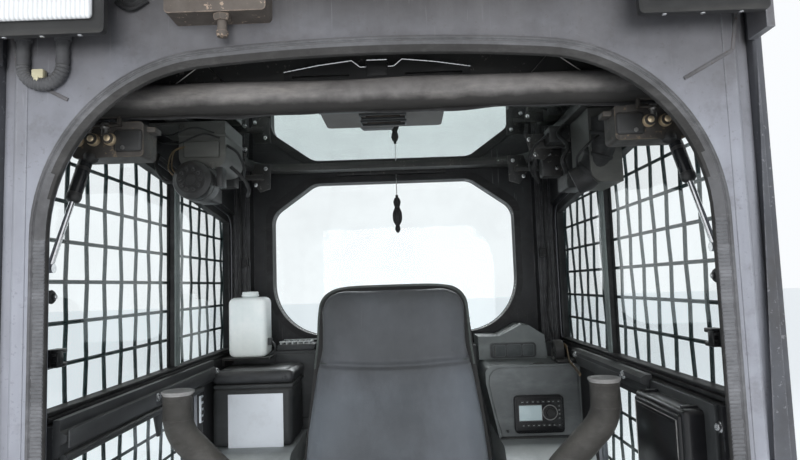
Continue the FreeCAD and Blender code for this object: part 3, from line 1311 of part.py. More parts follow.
def rear_header_bar():
    """The bar over the rear window, and the release pull that hangs from it with its tassel."""
    bottom = S.rear_window_top + S.header_bar_raise
    front = REAR_INSIDE - S.header_bar_depth
    bar = block("HeaderBar", (-S.header_bar_half, S.header_bar_half), (front, REAR_INSIDE),
                (bottom, bottom + S.header_bar_height))
    keep(rounded("HeaderBarRounded", bar, "X", 4, near("y", front)), "rear_header_bar")
    reach = front + S.header_bar_depth / 3
    cord = rod("PullCord", S.pull_radius, S.pull_length, (S.pull_place, reach, bottom - S.pull_length), "Z")
    keep(cord, "release_pull")
    length, wide = float(S.tassel_length), float(S.tassel_radius)
    top = float(bottom - S.pull_length)
    profile = ((0, 0), (0.3, 0), (0.42, 0.08), (0.75, 0.14), (0.8, 0.3), (0.5, 0.38), (1, 0.46), (0.9, 0.72),
               (0.4, 0.8), (0.62, 0.9), (0.2, 1), (0, 1))
    x, y = float(S.pull_place), float(reach)
    points = [FreeCAD.Vector(x + wide * share, y, top - length * drop) for share, drop in profile]
    turned = Part.Face(Part.makePolygon(points + points[:1])).revolve(
        FreeCAD.Vector(x, y, 0), FreeCAD.Vector(0, 0, 1), 360)
    tassel = doc.addObject("Part::Feature", "pull_tassel")
    tassel.Shape = turned
    keep(tassel, "pull_tassel")


def belt_retractor():
    radius, width = S.retractor_radius, S.retractor_width
    axis = (S.wall_inside - width, S.retractor_place, S.radio_panel_top + radius)
    drum = rod("RetractorDrum", radius, width, axis, "X")
    foot = block("RetractorFoot", (S.wall_inside - width, S.wall_inside),
                 (S.retractor_place - radius, S.retractor_place + radius),
                 (S.radio_panel_top, S.radio_panel_top + radius))
    keep(fused("Retractor", drum, foot), "belt_retractor")


# Seat

def seat():
    """The fixed pedestal and rails, and the seat that slides on them."""
    pedestal = Part.makeLoft([rectangle_wire(S.pedestal_half, S.pedestal_front, S.pedestal_rear, FLOOR),
                              rectangle_wire(S.pedestal_half - S.pedestal_draft,
                                             S.pedestal_front - S.pedestal_draft,
                                             S.pedestal_rear, S.pedestal_top)], True)
    base = doc.addObject("Part::Feature", "seat_pedestal")
    base.Shape = pedestal
    keep(base, "seat_pedestal")
    rail_top = S.pedestal_top + S.slide_rail_height
    runner_bottom = rail_top + S.slide_clearance
    runner_top = runner_bottom + S.runner_height
    rails, runners = [], []
    for sign, name in ((-1, "Left"), (1, "Right")):
        low = sign * S.slide_rail_place - S.slide_rail_width / 2
        high = sign * S.slide_rail_place + S.slide_rail_width / 2
        rails.append(block("SlideRail" + name, (low, high), (-S.pedestal_front + S.pedestal_draft, S.pedestal_rear),
                           (S.pedestal_top, rail_top)))
        runners.append(block("Runner" + name, (low, high), (-S.pedestal_front, S.pedestal_rear - S.pedestal_draft),
                             (runner_bottom, runner_top)))
    keep(fused("SlideRails", *rails), "seat_slide_rails")
    pan_top = runner_top + S.pan_thickness
    pan = block("SeatPan", (-S.seat_half + 12, S.seat_half - 12), (-S.seat_front + 12, S.seat_rear + 70),
                (runner_top, pan_top))
    arms = block("BackArms", (-S.back_half_bottom + 20, S.back_half_bottom - 20),
                 (S.seat_rear + 47, S.seat_rear + 67), (pan_top, S.back_bottom + 40))
    keep(fused("SeatPanRunners", pan, arms, *runners), "seat_pan")
    cushion_block = block("CushionBlock", (-S.seat_half, S.seat_half), (-S.seat_front, S.seat_rear),
                          (pan_top, pan_top + S.cushion_thickness))
    corners = rounded("CushionCorners", cushion_block, "Z", S.cushion_edge)
    keep(edge_loop("CushionEdges", corners, pan_top + S.cushion_thickness, S.cushion_edge * 0.8), "seat_cushion")
    backrest(pan_top)


def rectangle_wire(half, front, rear, height):
    """A level rectangle, symmetric about the centre plane."""
    x, z = float(half), float(height)
    corners = [(-x, -float(front)), (x, -float(front)), (x, float(rear)), (-x, float(rear))]
    points = [FreeCAD.Vector(u, v, z) for u, v in corners]
    return Part.makePolygon(points + points[:1])


def edge_loop(name, base, height, radius):
    """A Part fillet on all edges that lie at a height."""
    doc.recompute()
    fillet = doc.addObject("Part::Fillet", name)
    fillet.Base = base
    r, level = float(radius), float(height)
    fillet.Edges = [(number, r, r) for number, edge in enumerate(base.Shape.Edges, start=1)
                    if all(abs(v.Point.z - level) < 0.01 for v in edge.Vertexes)]
    return fillet


def backrest(pan_top):
    """The backrest's pad and shell: an outline that narrows to a neck, leaned back about its foot."""
    outline = [
        (-S.back_half_bottom, 0), (S.back_half_bottom, 0), (S.back_half_neck, S.back_neck),
        (S.back_half_top, S.back_length), (-S.back_half_top, S.back_length), (-S.back_half_neck, S.back_neck),
    ]
    lean = FreeCAD.Rotation(FreeCAD.Vector(1, 0, 0), -float(S.back_lean))
    for label, start, thickness in (("seat_back", 0, S.back_thickness), ("seat_back_shell", -S.back_shell, S.back_shell)):
        body = new_body(label)
        sketch = polygon(body, label + "Outline", "XZ", outline, start)
        pad(body, label + "Pad", sketch, thickness)
        top = near("z", S.back_length)
        soften(body, label + "Corners", "Y", S.back_corner, top)
        body.Placement.Rotation = lean
        place(body, 0, S.seat_rear + 22, S.back_bottom)


# Control levers

def lever():
    """The right control lever: a sleeve that jogs outwards, its hub and its bracket."""
    y, grip, shaft = -float(S.lever_reach), float(S.lever_grip_place), float(S.lever_shaft_place)
    pivot = float(S.lever_pivot_height)
    corners = [(shaft, pivot), (shaft, float(S.lever_jog_top) - (grip - shaft)), (grip, float(S.lever_jog_top)),
               (grip, float(S.lever_top))]
    path = bent_path([FreeCAD.Vector(x, y, z) for x, z in corners], float(S.lever_bend))
    section = Part.Wire(Part.makeCircle(float(S.lever_radius), FreeCAD.Vector(shaft, y, pivot),
                                        FreeCAD.Vector(0, 0, 1)))
    sleeve = path.makePipeShell([section], True, False)
    width, hub_radius = float(S.lever_hub_width), float(S.lever_hub_radius + S.hub_wall)
    across = FreeCAD.Vector(1, 0, 0)
    hub = Part.makeCylinder(hub_radius, width, FreeCAD.Vector(shaft - width / 2, y, pivot), across)
    bore = Part.makeCylinder(float(S.lever_pin_radius) + float(S.pin_clearance), 2 * width,
                             FreeCAD.Vector(shaft - width, y, pivot), across)
    ear_top = pivot + float(S.ear_half) + float(S.lever_radius)
    wide = 2 * float(S.lever_radius)
    cheek_cut = [Part.makeBox(wide, 2 * wide, ear_top, FreeCAD.Vector(edge, y - wide, 0))
                 for edge in (shaft - width / 2 - wide, shaft + width / 2)]
    arm = doc.addObject("Part::Feature", "control_lever_right")
    arm.Shape = sleeve.cut(cheek_cut).fuse(hub).cut(bore).removeSplitter()
    keep(arm, "control_lever_right")
    ears = []
    ear_near = S.lever_hub_width / 2 + S.ear_clearance
    ear_far = ear_near + S.ear_thickness
    for number, (low, high) in enumerate(((-ear_far, -ear_near), (ear_near, ear_far))):
        ears.append(block("LeverEar%d" % number, (S.lever_shaft_place + low, S.lever_shaft_place + high),
                          (-S.lever_reach - S.ear_half, -S.lever_reach + S.ear_half),
                          (FLOOR, S.lever_pivot_height + S.ear_half)))
    foot = block("LeverFoot", (S.lever_shaft_place - ear_far, S.lever_shaft_place + ear_far),
                 (-S.lever_reach - S.ear_half, -S.lever_reach + S.ear_half), (FLOOR, FLOOR + S.ear_thickness))
    pin = rod("LeverPin", S.lever_pin_radius, 2 * ear_far,
              (S.lever_shaft_place - ear_far, -S.lever_reach, S.lever_pivot_height), "X")
    pair(fused("LeverBracket", foot, pin, *ears), "lever_brackets")
    return arm


def bent_path(points, bend):
    """A wire through the points whose corners are arcs of the bend radius."""
    edges, last = [], points[0]
    for before, corner, after in zip(points, points[1:], points[2:]):
        back, on = (before - corner).normalize(), (after - corner).normalize()
        half_turn = (math.pi - back.getAngle(on)) / 2
        cut = bend * math.tan(half_turn)
        start, end = corner + back * cut, corner + on * cut
        inward = (back + on).normalize()
        middle = corner + inward * (bend / math.cos(half_turn) - bend)
        edges.append(Part.makeLine(last, start))
        edges.append(Part.Arc(start, middle, end).toShape())
        last = end
    edges.append(Part.makeLine(last, points[-1]))
    return Part.Wire(edges)


front_frame()
door_seal()
for side in ("left", "right"):
    side_wall(side)
    window_frame(side)
    side_glass(side)
    guard(side)
rear_wall()
rear_window()
roof()
lining()
base_frame()
floor_plate()
stowed_door()
door_handle()
bulb_seal()
latch_cover()
door_rail()
door_hangers()
roller_carriage()
gas_strut()
work_lamp()
header_bracket()
conduit()
side_console()
rear_console()
right_dash()
storage_box()
washer_bottle()
display()
overhead_fittings()
belt_rails()
window_latch()
rear_header_bar()
belt_retractor()
seat()
mirrored(lever(), "control_lever_left")

doc.recompute()
for thing in doc.Objects:
    if "Invalid" in thing.State or "Error" in thing.State:
        raise RuntimeError("%s failed: %s" % (thing.Name, thing.State))
for thing in nodes:
    if thing.Shape.isNull() or not thing.Shape.isValid() or not thing.Shape.Solids:
        raise RuntimeError("%s has no valid solid" % thing.Label)

os.makedirs("parts", exist_ok=True)
for thing in nodes:
    thing.Shape.exportStep("parts/%s.step" % thing.Label)
print("%d sub-parts" % len(nodes))
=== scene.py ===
import math
import random
from contextlib import contextmanager

import bmesh
import bpy
from mathutils import Matrix, Vector


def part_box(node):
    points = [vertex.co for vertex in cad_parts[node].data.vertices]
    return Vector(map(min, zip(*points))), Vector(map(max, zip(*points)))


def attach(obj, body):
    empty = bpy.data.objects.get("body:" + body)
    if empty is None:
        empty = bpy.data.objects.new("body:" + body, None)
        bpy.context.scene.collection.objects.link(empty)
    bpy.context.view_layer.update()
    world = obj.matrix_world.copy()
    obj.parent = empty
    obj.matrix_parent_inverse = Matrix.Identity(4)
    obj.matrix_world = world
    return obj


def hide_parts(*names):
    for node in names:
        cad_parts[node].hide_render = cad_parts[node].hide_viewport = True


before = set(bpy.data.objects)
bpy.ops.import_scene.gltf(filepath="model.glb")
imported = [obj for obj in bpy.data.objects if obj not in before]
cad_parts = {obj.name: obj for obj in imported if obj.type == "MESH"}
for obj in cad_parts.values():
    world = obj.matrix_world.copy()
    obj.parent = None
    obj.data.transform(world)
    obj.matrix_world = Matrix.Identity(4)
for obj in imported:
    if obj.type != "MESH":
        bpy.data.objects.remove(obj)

# Operator's cab. Shapes are written in millimetres and made metres when a piece is finished.
MM = 0.001
IMAGE_WIDTH = 800
FOCAL_PIXELS = 627
AHEAD, UP, DOWN, RIGHT, LEFT = (0, -1, 0), (0, 0, 1), (0, 0, -1), (1, 0, 0), (-1, 0, 0)

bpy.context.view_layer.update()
scene = bpy.context.scene
scene.view_settings.view_transform = "Standard"
chance = random.Random(7)


# Camera, floor and light

def place_camera():
    """In front of the doorway, a little right of the middle, looking slightly up and tilted."""
    data = bpy.data.cameras.new("camera")
    data.sensor_width = 36.0
    data.lens = data.sensor_width * FOCAL_PIXELS / IMAGE_WIDTH
    camera = bpy.data.objects.new("camera", data)
    scene.collection.objects.link(camera)
    camera.location = (0.0325, -1.2731, 1.034)
    turn = (Matrix.Rotation(math.radians(0.4529), 3, "Z") @ Matrix.Rotation(math.radians(95.0055), 3, "X")
            @ Matrix.Rotation(math.radians(-1.8704), 3, "Z"))
    camera.rotation_euler = turn.to_euler()
    scene.camera = camera


def area_light(name, place, aim, size, power, colour):
    data = bpy.data.lights.new(name, "AREA")
    data.size = size
    data.energy = power
    data.color = colour
    light = bpy.data.objects.new(name, data)
    scene.collection.objects.link(light)
    light.location = place
    light.rotation_euler = (Vector(aim) - Vector(place)).to_track_quat("-Z", "Y").to_euler()
    light.visible_glossy = False


def background_rays(tree):
    """1 for what the camera sees of the background, straight, through glass or mirrored."""
    path = tree.nodes.new("ShaderNodeLightPath")
    seen = path.outputs["Is Camera Ray"]
    for name in ("Is Transmission Ray", "Is Glossy Ray"):
        either = tree.nodes.new("ShaderNodeMath")
        either.operation = "MAXIMUM"
        tree.links.new(seen, either.inputs[0])
        tree.links.new(path.outputs[name], either.inputs[1])
        seen = either.outputs[0]
    return seen


def studio():
    mesh = bpy.data.meshes.new("floor")
    work = bmesh.new()
    bmesh.ops.create_grid(work, x_segments=1, y_segments=1, size=40.0)
    work.to_mesh(mesh)
    work.free()
    floor = bpy.data.objects.new("floor", mesh)
    scene.collection.objects.link(floor)
    material = bpy.data.materials.new("floor")
    material.use_nodes = True
    shader = material.node_tree.nodes["Principled BSDF"]
    shader.inputs["Base Color"].default_value = (0.80, 0.80, 0.79, 1)
    shader.inputs["Roughness"].default_value = 0.8
    shader.inputs["Emission Color"].default_value = (0.88, 0.93, 0.95, 1)
    tree = material.node_tree
    glow = tree.nodes.new("ShaderNodeMath")
    glow.operation = "MULTIPLY"
    glow.inputs[1].default_value = 0.42
    tree.links.new(background_rays(tree), glow.inputs[0])
    tree.links.new(glow.outputs[0], shader.inputs["Emission Strength"])
    mesh.materials.append(material)

    world = bpy.data.worlds.new("studio")
    world.use_nodes = True
    tree = world.node_tree
    tree.nodes.clear()
    light = tree.nodes.new("ShaderNodeBackground")
    light.inputs["Color"].default_value = (0.86, 0.92, 1.0, 1)
    light.inputs["Strength"].default_value = 0.55
    backdrop = tree.nodes.new("ShaderNodeBackground")
    backdrop.inputs["Color"].default_value = (0.96, 0.98, 1.0, 1)
    backdrop.inputs["Strength"].default_value = 1.0
    chosen = tree.nodes.new("ShaderNodeMixShader")
    tree.links.new(background_rays(tree), chosen.inputs[0])
    tree.links.new(light.outputs[0], chosen.inputs[1])
    tree.links.new(backdrop.outputs[0], chosen.inputs[2])
    output = tree.nodes.new("ShaderNodeOutputWorld")
    tree.links.new(chosen.outputs[0], output.inputs["Surface"])
    scene.world = world
    area_light("front_key", (-1.6, -3.2, 2.6), (0, 0, 0.9), 2.4, 12, (1.0, 0.99, 0.97))
    area_light("front_far", (0.3, -7.0, 0.8), (0, 0, 1.0), 3.0, 430, (0.98, 0.99, 1.0))
    area_light("rear_sky", (0.3, 3.4, 3.2), (0, 0.2, 1.0), 2.6, 60, (0.95, 0.98, 1.0))


# Material tools

def plug(tree, socket, value):
    """Sets an input, or links it where the value is a node or one of its outputs."""
    if isinstance(value, bpy.types.Node):
        value = value.outputs[0]
    if isinstance(value, bpy.types.NodeSocket):
        tree.links.new(value, socket)
    else:
        socket.default_value = value


def add(tree, kind, settings=None, **inputs):
    """A shader node with its settings and inputs; an input's name is written with _ for a space."""
    node = tree.nodes.new("ShaderNode" + kind)
    for name, value in (settings or {}).items():
        setattr(node, name, value)
    for name, value in inputs.items():
        plug(tree, node.inputs[name.replace("_", " ")], value)
    return node


def maths(tree, operation, first, second=0.0, clamp=False):
    node = add(tree, "Math", {"operation": operation, "use_clamp": clamp})
    plug(tree, node.inputs[0], first)
    plug(tree, node.inputs[1], second)
    return node.outputs[0]


def span(tree, value, low, high, to_low=0.0, to_high=1.0):
    """The value spread from low..high to the new ends, and held between them."""
    node = add(tree, "MapRange", None, Value=value, From_Min=low, From_Max=high, To_Min=to_low,
               To_Max=to_high)
    return node.outputs[0]


def mixed(tree, share, first, second, how="MIX"):
    """Two colours mixed by a share."""
    node = add(tree, "Mix", {"data_type": "RGBA", "blend_type": how})
    plug(tree, node.inputs[0], share)
    for socket, colour in ((node.inputs[6], first), (node.inputs[7], second)):
        plug(tree, socket, (*colour, 1.0) if isinstance(colour, tuple) and len(colour) == 3 else colour)
    return node.outputs[2]


def here(tree, scale=(1, 1, 1), turn=(0, 0, 0)):
    """Object coordinates, stretched and turned."""
    source = add(tree, "TexCoord").outputs["Object"]
    mapping = add(tree, "Mapping", None, Vector=source, Scale=scale,
                  Rotation=tuple(math.radians(a) for a in turn))
    return mapping.outputs[0]


def axis_of(tree, axis):
    """One of the object coordinates."""
    split = add(tree, "SeparateXYZ", None, Vector=add(tree, "TexCoord").outputs["Object"])
    return split.outputs["XYZ".index(axis)]


def noise_of(tree, vector, scale, detail=4.0, roughness=0.5):
    node = add(tree, "TexNoise", None, Vector=vector, Scale=scale, Detail=detail, Roughness=roughness)
    return node.outputs[0]


def patches(tree, scale, detail, roughness, low, high, to_low=0.0, to_high=1.0, stretch=(1, 1, 1)):
    """Noise spread between two levels, so that it lies in patches."""
    return span(tree, noise_of(tree, here(tree, stretch), scale, detail, roughness), low, high, to_low,
                to_high)


def group_of(name, inputs, outputs, fill):
    """A shared effect as a node group: fill gets its tree and inputs and gives its outputs."""
    group = bpy.data.node_groups.new(name, "ShaderNodeTree")
    for label, value in inputs:
        socket = group.interface.new_socket(label, in_out="INPUT", socket_type="NodeSocketFloat")
        socket.default_value = value
    for label in outputs:
        group.interface.new_socket(label, in_out="OUTPUT", socket_type="NodeSocketFloat")
    entry = group.nodes.new("NodeGroupInput")
    leaving = group.nodes.new("NodeGroupOutput")
    made = fill(group, {label: entry.outputs[label] for label, _ in inputs})
    for label, value in zip(outputs, made):
        group.links.new(value, leaving.inputs[label])
    return group


def fill_edge_wear_and_highlight(tree, given):
    """Convex and concave edges, broken up by noise: a mask for worn edges, and where the materials lighten
    them, a painted edge highlight as well.
    """
    bent = add(tree, "Bevel", {"samples": 4}, Radius=given["Reach"])
    flat = add(tree, "NewGeometry").outputs["Normal"]
    facing = add(tree, "VectorMath", {"operation": "DOT_PRODUCT"})
    tree.links.new(bent.outputs[0], facing.inputs[0])
    tree.links.new(flat, facing.inputs[1])
    edge = span(tree, maths(tree, "SUBTRACT", 1.0, facing.outputs["Value"]), 0.02, 0.2)
    broken = span(tree, noise_of(tree, here(tree), given["Scale"], 5.0, 0.65), 0.42, 0.6)
    return [maths(tree, "MULTIPLY", maths(tree, "MULTIPLY", edge, broken), given["Amount"])]


def fill_mottle(tree, given):
    """Cloudy variation at a large and a small scale."""
    large = noise_of(tree, here(tree), given["Scale"], 3.0, 0.55)
    small = noise_of(tree, here(tree), maths(tree, "MULTIPLY", given["Scale"], 7.0), 4.0, 0.6)
    both = maths(tree, "ADD", maths(tree, "MULTIPLY", large, 0.65), maths(tree, "MULTIPLY", small, 0.35))
    return [span(tree, both, 0.35, 0.65)]


def fill_dust(tree, given):
    """Dust that settles on faces that look up."""
    up = add(tree, "SeparateXYZ", None, Vector=add(tree, "NewGeometry").outputs["Normal"]).outputs[2]
    settled = span(tree, up, 0.15, 0.95)
    patchy = patches(tree, 14.0, 6.0, 0.65, 0.3, 0.7)
    return [maths(tree, "MULTIPLY", maths(tree, "MULTIPLY", settled, patchy), given["Amount"])]


def fill_scratches(tree, given):
    """Two families of fine streaks at an angle."""
    streaks = []
    for turn, scale in (((20, 35, 12), (160, 7, 5)), ((-15, -50, 70), (150, 6, 9))):
        fine = noise_of(tree, here(tree, scale, turn), 1.0, 2.0, 0.5)
        streaks.append(span(tree, fine, 0.69, 0.74))
    patch = patches(tree, 6.0, 2.0, 0.5, 0.45, 0.65)
    both = maths(tree, "MAXIMUM", *streaks)
    return [maths(tree, "MULTIPLY", maths(tree, "MULTIPLY", both, patch), given["Amount"])]


def fill_grain(tree, given):
    """The fine pebble grain of moulded plastic or vinyl."""
    cells = add(tree, "TexVoronoi", {"feature": "SMOOTH_F1"}, Vector=here(tree), Scale=given["Scale"])
    fine = noise_of(tree, here(tree), maths(tree, "MULTIPLY", given["Scale"], 2.3), 2.0, 0.5)
    return [maths(tree, "ADD", cells.outputs["Distance"], maths(tree, "MULTIPLY", fine, 0.4))]


def fill_chips(tree, given):
    """Small specks where a finish has come off."""
    specks = noise_of(tree, here(tree), given["Scale"], 3.0, 0.7)
    where = noise_of(tree, here(tree), maths(tree, "MULTIPLY", given["Scale"], 0.12), 2.0, 0.5)
    share = maths(tree, "ADD", specks, maths(tree, "MULTIPLY", where, 0.25))
    return [maths(tree, "MULTIPLY", span(tree, share, 0.76, 0.80), given["Amount"])]


EFFECTS = {
    "edge_wear_and_highlight": group_of("edge_wear_and_highlight", [("Reach", 0.003), ("Scale", 45.0), ("Amount", 1.0)], ["Mask"],
                          fill_edge_wear_and_highlight),
    "mottle": group_of("mottle", [("Scale", 4.0)], ["Mask"], fill_mottle),
    "dust": group_of("dust", [("Amount", 0.5)], ["Mask"], fill_dust),
    "scratches": group_of("scratches", [("Amount", 1.0)], ["Mask"], fill_scratches),
    "grain": group_of("grain", [("Scale", 900.0)], ["Height"], fill_grain),
    "chips": group_of("chips", [("Scale", 90.0), ("Amount", 1.0)], ["Mask"], fill_chips),
}


def effect(tree, name, **inputs):
    node = tree.nodes.new("ShaderNodeGroup")
    node.node_tree = EFFECTS[name]
    for label, value in inputs.items():
        plug(tree, node.inputs[label], value)
    return node.outputs[0]


def surface(name, **constants):
    """A new material with its shader; constants are set on the shader's own sockets."""
    material = bpy.data.materials.new(name)
    material.use_nodes = True
    shader = material.node_tree.nodes["Principled BSDF"]
    for label, value in constants.items():
        shader.inputs[label.replace("_", " ")].default_value = value
    return material, material.node_tree, shader


def clouded(tree, scale, deep, light):
    """A colour that wanders between two."""
    return mixed(tree, effect(tree, "mottle", Scale=scale), deep, light)


def bumped(tree, shader, height, strength, distance):
    bump = add(tree, "Bump", None, Strength=strength, Distance=distance, Height=height)
    tree.links.new(bump.outputs[0], shader.inputs["Normal"])


def pitted(tree, shader, scale, detail, roughness, strength, distance):
    """Fine relief from noise."""
    bumped(tree, shader, noise_of(tree, here(tree), scale, detail, roughness), strength, distance)


def toned(colour, by, plus=0.0):
    """A paler or darker form of a colour."""
    return tuple(c * by + plus for c in colour)


def finished(tree, shader, colour, rough):
    plug(tree, shader.inputs["Base Color"], colour)
    plug(tree, shader.inputs["Roughness"], rough)


def worn_paint(name, deep, light, bare, rough=0.5, wear_and_highlight=0.8, dirt=(0.05, 0.045, 0.04), scale=3.0,
               dusty=0.25):
    """Sprayed paint: cloudy tone, grime, scratches, chips, and worn edges that also act as a painted edge
    highlight where the bare colour is paler.
    """
    material, tree, shader = surface(name, Specular_IOR_Level=0.4)
    cloud = effect(tree, "mottle", Scale=scale)
    colour = mixed(tree, cloud, deep, light)
    grime = patches(tree, 9.0, 8.0, 0.7, 0.52, 0.72, 0.0, 0.55)
    colour = mixed(tree, grime, colour, dirt)
    scratch = effect(tree, "scratches", Amount=0.45)
    colour = mixed(tree, scratch, colour, toned(light, 1.7))
    # Worn edges, also a painted edge highlight where the bare colour is paler than the paint.
    edge = effect(tree, "edge_wear_and_highlight", Reach=0.003, Scale=60.0, Amount=wear_and_highlight)
    chip = effect(tree, "chips", Scale=110.0, Amount=wear_and_highlight)
    colour = mixed(tree, maths(tree, "MAXIMUM", edge, chip), colour, bare)
    colour = mixed(tree, effect(tree, "dust", Amount=dusty), colour, (0.42, 0.40, 0.36))
    finished(tree, shader, colour, span(tree, cloud, 0, 1, rough + 0.12, rough - 0.08))
    pitted(tree, shader, 260.0, 3.0, 0.5, 0.12, 0.0006)
    return material


def frame_paint():
    """The front frame's grey paint: pale and clean low down, darkened to brown-grey over the doorway by
    painted shade under the roof, darkest along the middle of the header's top.
    """
    material, tree, shader = surface("frame_paint", Specular_IOR_Level=0.45)
    cloud = effect(tree, "mottle", Scale=2.6)
    colour = mixed(tree, cloud, (0.268, 0.276, 0.310), (0.355, 0.366, 0.414))
    # Painted shade: the paint darkens raggedly upwards to the header's shaded colour over the doorway.
    high = span(tree, axis_of(tree, "Z"), 1.13, 1.36)
    ragged = maths(tree, "ADD", high, patches(tree, 5.0, 6.0, 0.6, 0.3, 0.7, -0.3, 0.3))
    visor_shade = span(tree, ragged, 0.1, 1.0, 0.0, 0.9)
    header = clouded(tree, 5.0, (0.060, 0.056, 0.056), (0.125, 0.123, 0.130))
    colour = mixed(tree, visor_shade, colour, header)
    # Painted shade: the top of the header, near its middle, is darker still.
    top_shade = span(tree, axis_of(tree, "Z"), 1.362, 1.405, 0.0, 0.9)
    middle = span(tree, maths(tree, "ABSOLUTE", axis_of(tree, "X")), 0.20, 0.38, 1.0, 0.2)
    colour = mixed(tree, maths(tree, "MULTIPLY", top_shade, middle), colour, (0.058, 0.055, 0.056))
    streak = patches(tree, 1.0, 5.0, 0.6, 0.5, 0.75, 0.0, 0.35, stretch=(26, 26, 1.2))
    colour = mixed(tree, streak, colour, (0.16, 0.155, 0.16))
    grime = patches(tree, 14.0, 8.0, 0.72, 0.55, 0.75, 0.0, 0.5)
    colour = mixed(tree, grime, colour, (0.07, 0.06, 0.055))
    colour = mixed(tree, effect(tree, "scratches", Amount=0.22), colour, (0.42, 0.42, 0.44))
    # Paler edges: partly wear, partly a painted edge highlight.
    edge = effect(tree, "edge_wear_and_highlight", Reach=0.004, Scale=38.0, Amount=0.55)
    colour = mixed(tree, edge, colour, (0.40, 0.41, 0.43))
    colour = mixed(tree, effect(tree, "chips", Scale=150.0, Amount=0.22), colour, (0.075, 0.062, 0.056))
    finished(tree, shader, colour, span(tree, cloud, 0, 1, 0.55, 0.38))
    pitted(tree, shader, 180.0, 4.0, 0.55, 0.18, 0.0008)
    return material


def wall_paint():
    """The walls: grey paint outside, near black inside."""
    material, tree, shader = surface("wall_paint", Specular_IOR_Level=0.4)
    outside = clouded(tree, 2.4, (0.225, 0.232, 0.255), (0.30, 0.31, 0.345))
    streak = patches(tree, 1.0, 5.0, 0.6, 0.5, 0.8, 0.0, 0.4, stretch=(18, 18, 1.0))
    outside = mixed(tree, streak, outside, (0.15, 0.145, 0.14))
    inside = clouded(tree, 6.0, (0.012, 0.012, 0.013), (0.032, 0.033, 0.035))
    across = maths(tree, "ABSOLUTE", axis_of(tree, "X"))
    in_width = maths(tree, "LESS_THAN", across, 0.4425)
    in_depth = maths(tree, "LESS_THAN", axis_of(tree, "Y"), 0.4655)
    colour = mixed(tree, maths(tree, "MULTIPLY", in_width, in_depth), outside, inside)
    colour = mixed(tree, effect(tree, "scratches", Amount=0.35), colour, (0.30, 0.30, 0.31))
    # Paler edges: partly wear, partly a painted edge highlight.
    edge = effect(tree, "edge_wear_and_highlight", Reach=0.003, Scale=50.0, Amount=0.6)
    colour = mixed(tree, edge, colour, (0.24, 0.24, 0.25))
    colour = mixed(tree, effect(tree, "chips", Scale=140.0, Amount=0.3), colour, (0.08, 0.06, 0.05))
    finished(tree, shader, colour, 0.5)
    pitted(tree, shader, 200.0, 3.0, 0.5, 0.12, 0.0006)
    return material


def moulded(name, deep, light, rough=0.5, grain=900.0, dusty=0.15, wear_and_highlight=0.25, relief=0.25):
    """Moulded plastic with a pebble grain, a little dust and paler edges, partly wear and partly a painted
    edge highlight.
    """
    material, tree, shader = surface(name, Specular_IOR_Level=0.45)
    colour = clouded(tree, 6.0, deep, light)
    smear = patches(tree, 4.0, 6.0, 0.65, 0.5, 0.75, 0.0, 0.5, stretch=(3, 3, 8))
    colour = mixed(tree, smear, colour, toned(light, 1.5, 0.01))
    # Paler edges: partly wear, partly a painted edge highlight.
    edge = effect(tree, "edge_wear_and_highlight", Reach=0.002, Scale=80.0, Amount=wear_and_highlight)
    colour = mixed(tree, edge, colour, toned(light, 2.0, 0.05))
    colour = mixed(tree, effect(tree, "dust", Amount=dusty), colour, (0.36, 0.34, 0.30))
    finished(tree, shader, colour, span(tree, smear, 0, 0.5, rough, rough + 0.15))
    bumped(tree, shader, effect(tree, "grain", Scale=grain), relief, 0.0004)
    return material


def rubber(name, deep, light, rough=0.7, dusty=0.2, scale=9.0):
    """Rubber that has greyed unevenly."""
    material, tree, shader = surface(name, Specular_IOR_Level=0.35)
    colour = clouded(tree, scale, deep, light)
    rubbed = patches(tree, 7.0, 7.0, 0.7, 0.5, 0.72, 0.0, 0.6, stretch=(2, 5, 5))
    colour = mixed(tree, rubbed, colour, toned(light, 1.5, 0.02))
    # Paler edges: partly wear, partly a painted edge highlight.
    edge = effect(tree, "edge_wear_and_highlight", Reach=0.002, Scale=120.0, Amount=0.4)
    colour = mixed(tree, edge, colour, toned(light, 1.8, 0.03))
    colour = mixed(tree, effect(tree, "dust", Amount=dusty), colour, (0.30, 0.28, 0.25))
    finished(tree, shader, colour, rough)
    pitted(tree, shader, 340.0, 4.0, 0.6, 0.2, 0.0005)
    return material


def bar_rubber():
    """The round bar's rubber: rubbed brown-grey over its front, black underneath."""
    material, tree, shader = surface("bar_rubber", Specular_IOR_Level=0.35)
    colour = clouded(tree, 11.0, (0.115, 0.108, 0.104), (0.205, 0.195, 0.190))
    rubbed = patches(tree, 9.0, 7.0, 0.7, 0.46, 0.7, 0.0, 0.7, stretch=(1.2, 5, 5))
    colour = mixed(tree, rubbed, colour, (0.31, 0.29, 0.27))
    ragged = maths(tree, "ADD", axis_of(tree, "Z"), patches(tree, 22.0, 5.0, 0.6, 0.3, 0.7, -0.003, 0.003))
    colour = mixed(tree, span(tree, ragged, 1.288, 1.298, 0.92, 0.0), colour, (0.018, 0.017, 0.016))
    finished(tree, shader, colour, 0.6)
    pitted(tree, shader, 340.0, 4.0, 0.6, 0.2, 0.0005)
    return material


def metal(name, colour, rough, rust=0.0, stretch=(1, 1, 1), bare=1.0):
    """Bare or plated metal with a little rust, brushed along its stretch; less bare where tarnished."""
    material, tree, shader = surface(name, Metallic=bare)
    streak = noise_of(tree, here(tree, stretch), 320.0, 3.0, 0.6)
    tone = mixed(tree, span(tree, streak, 0.3, 0.7), toned(colour, 0.75), colour)
    spots = patches(tree, 60.0, 7.0, 0.7, 0.66 - 0.2 * rust, 0.72, 0.0, rust)
    tone = mixed(tree, spots, tone, (0.11, 0.045, 0.02))
    finished(tree, shader, tone, maths(tree, "ADD", span(tree, streak, 0.3, 0.7, rough, rough + 0.12),
                                       maths(tree, "MULTIPLY", spots, 0.4), True))
    bumped(tree, shader, streak, 0.08, 0.0003)
    return material


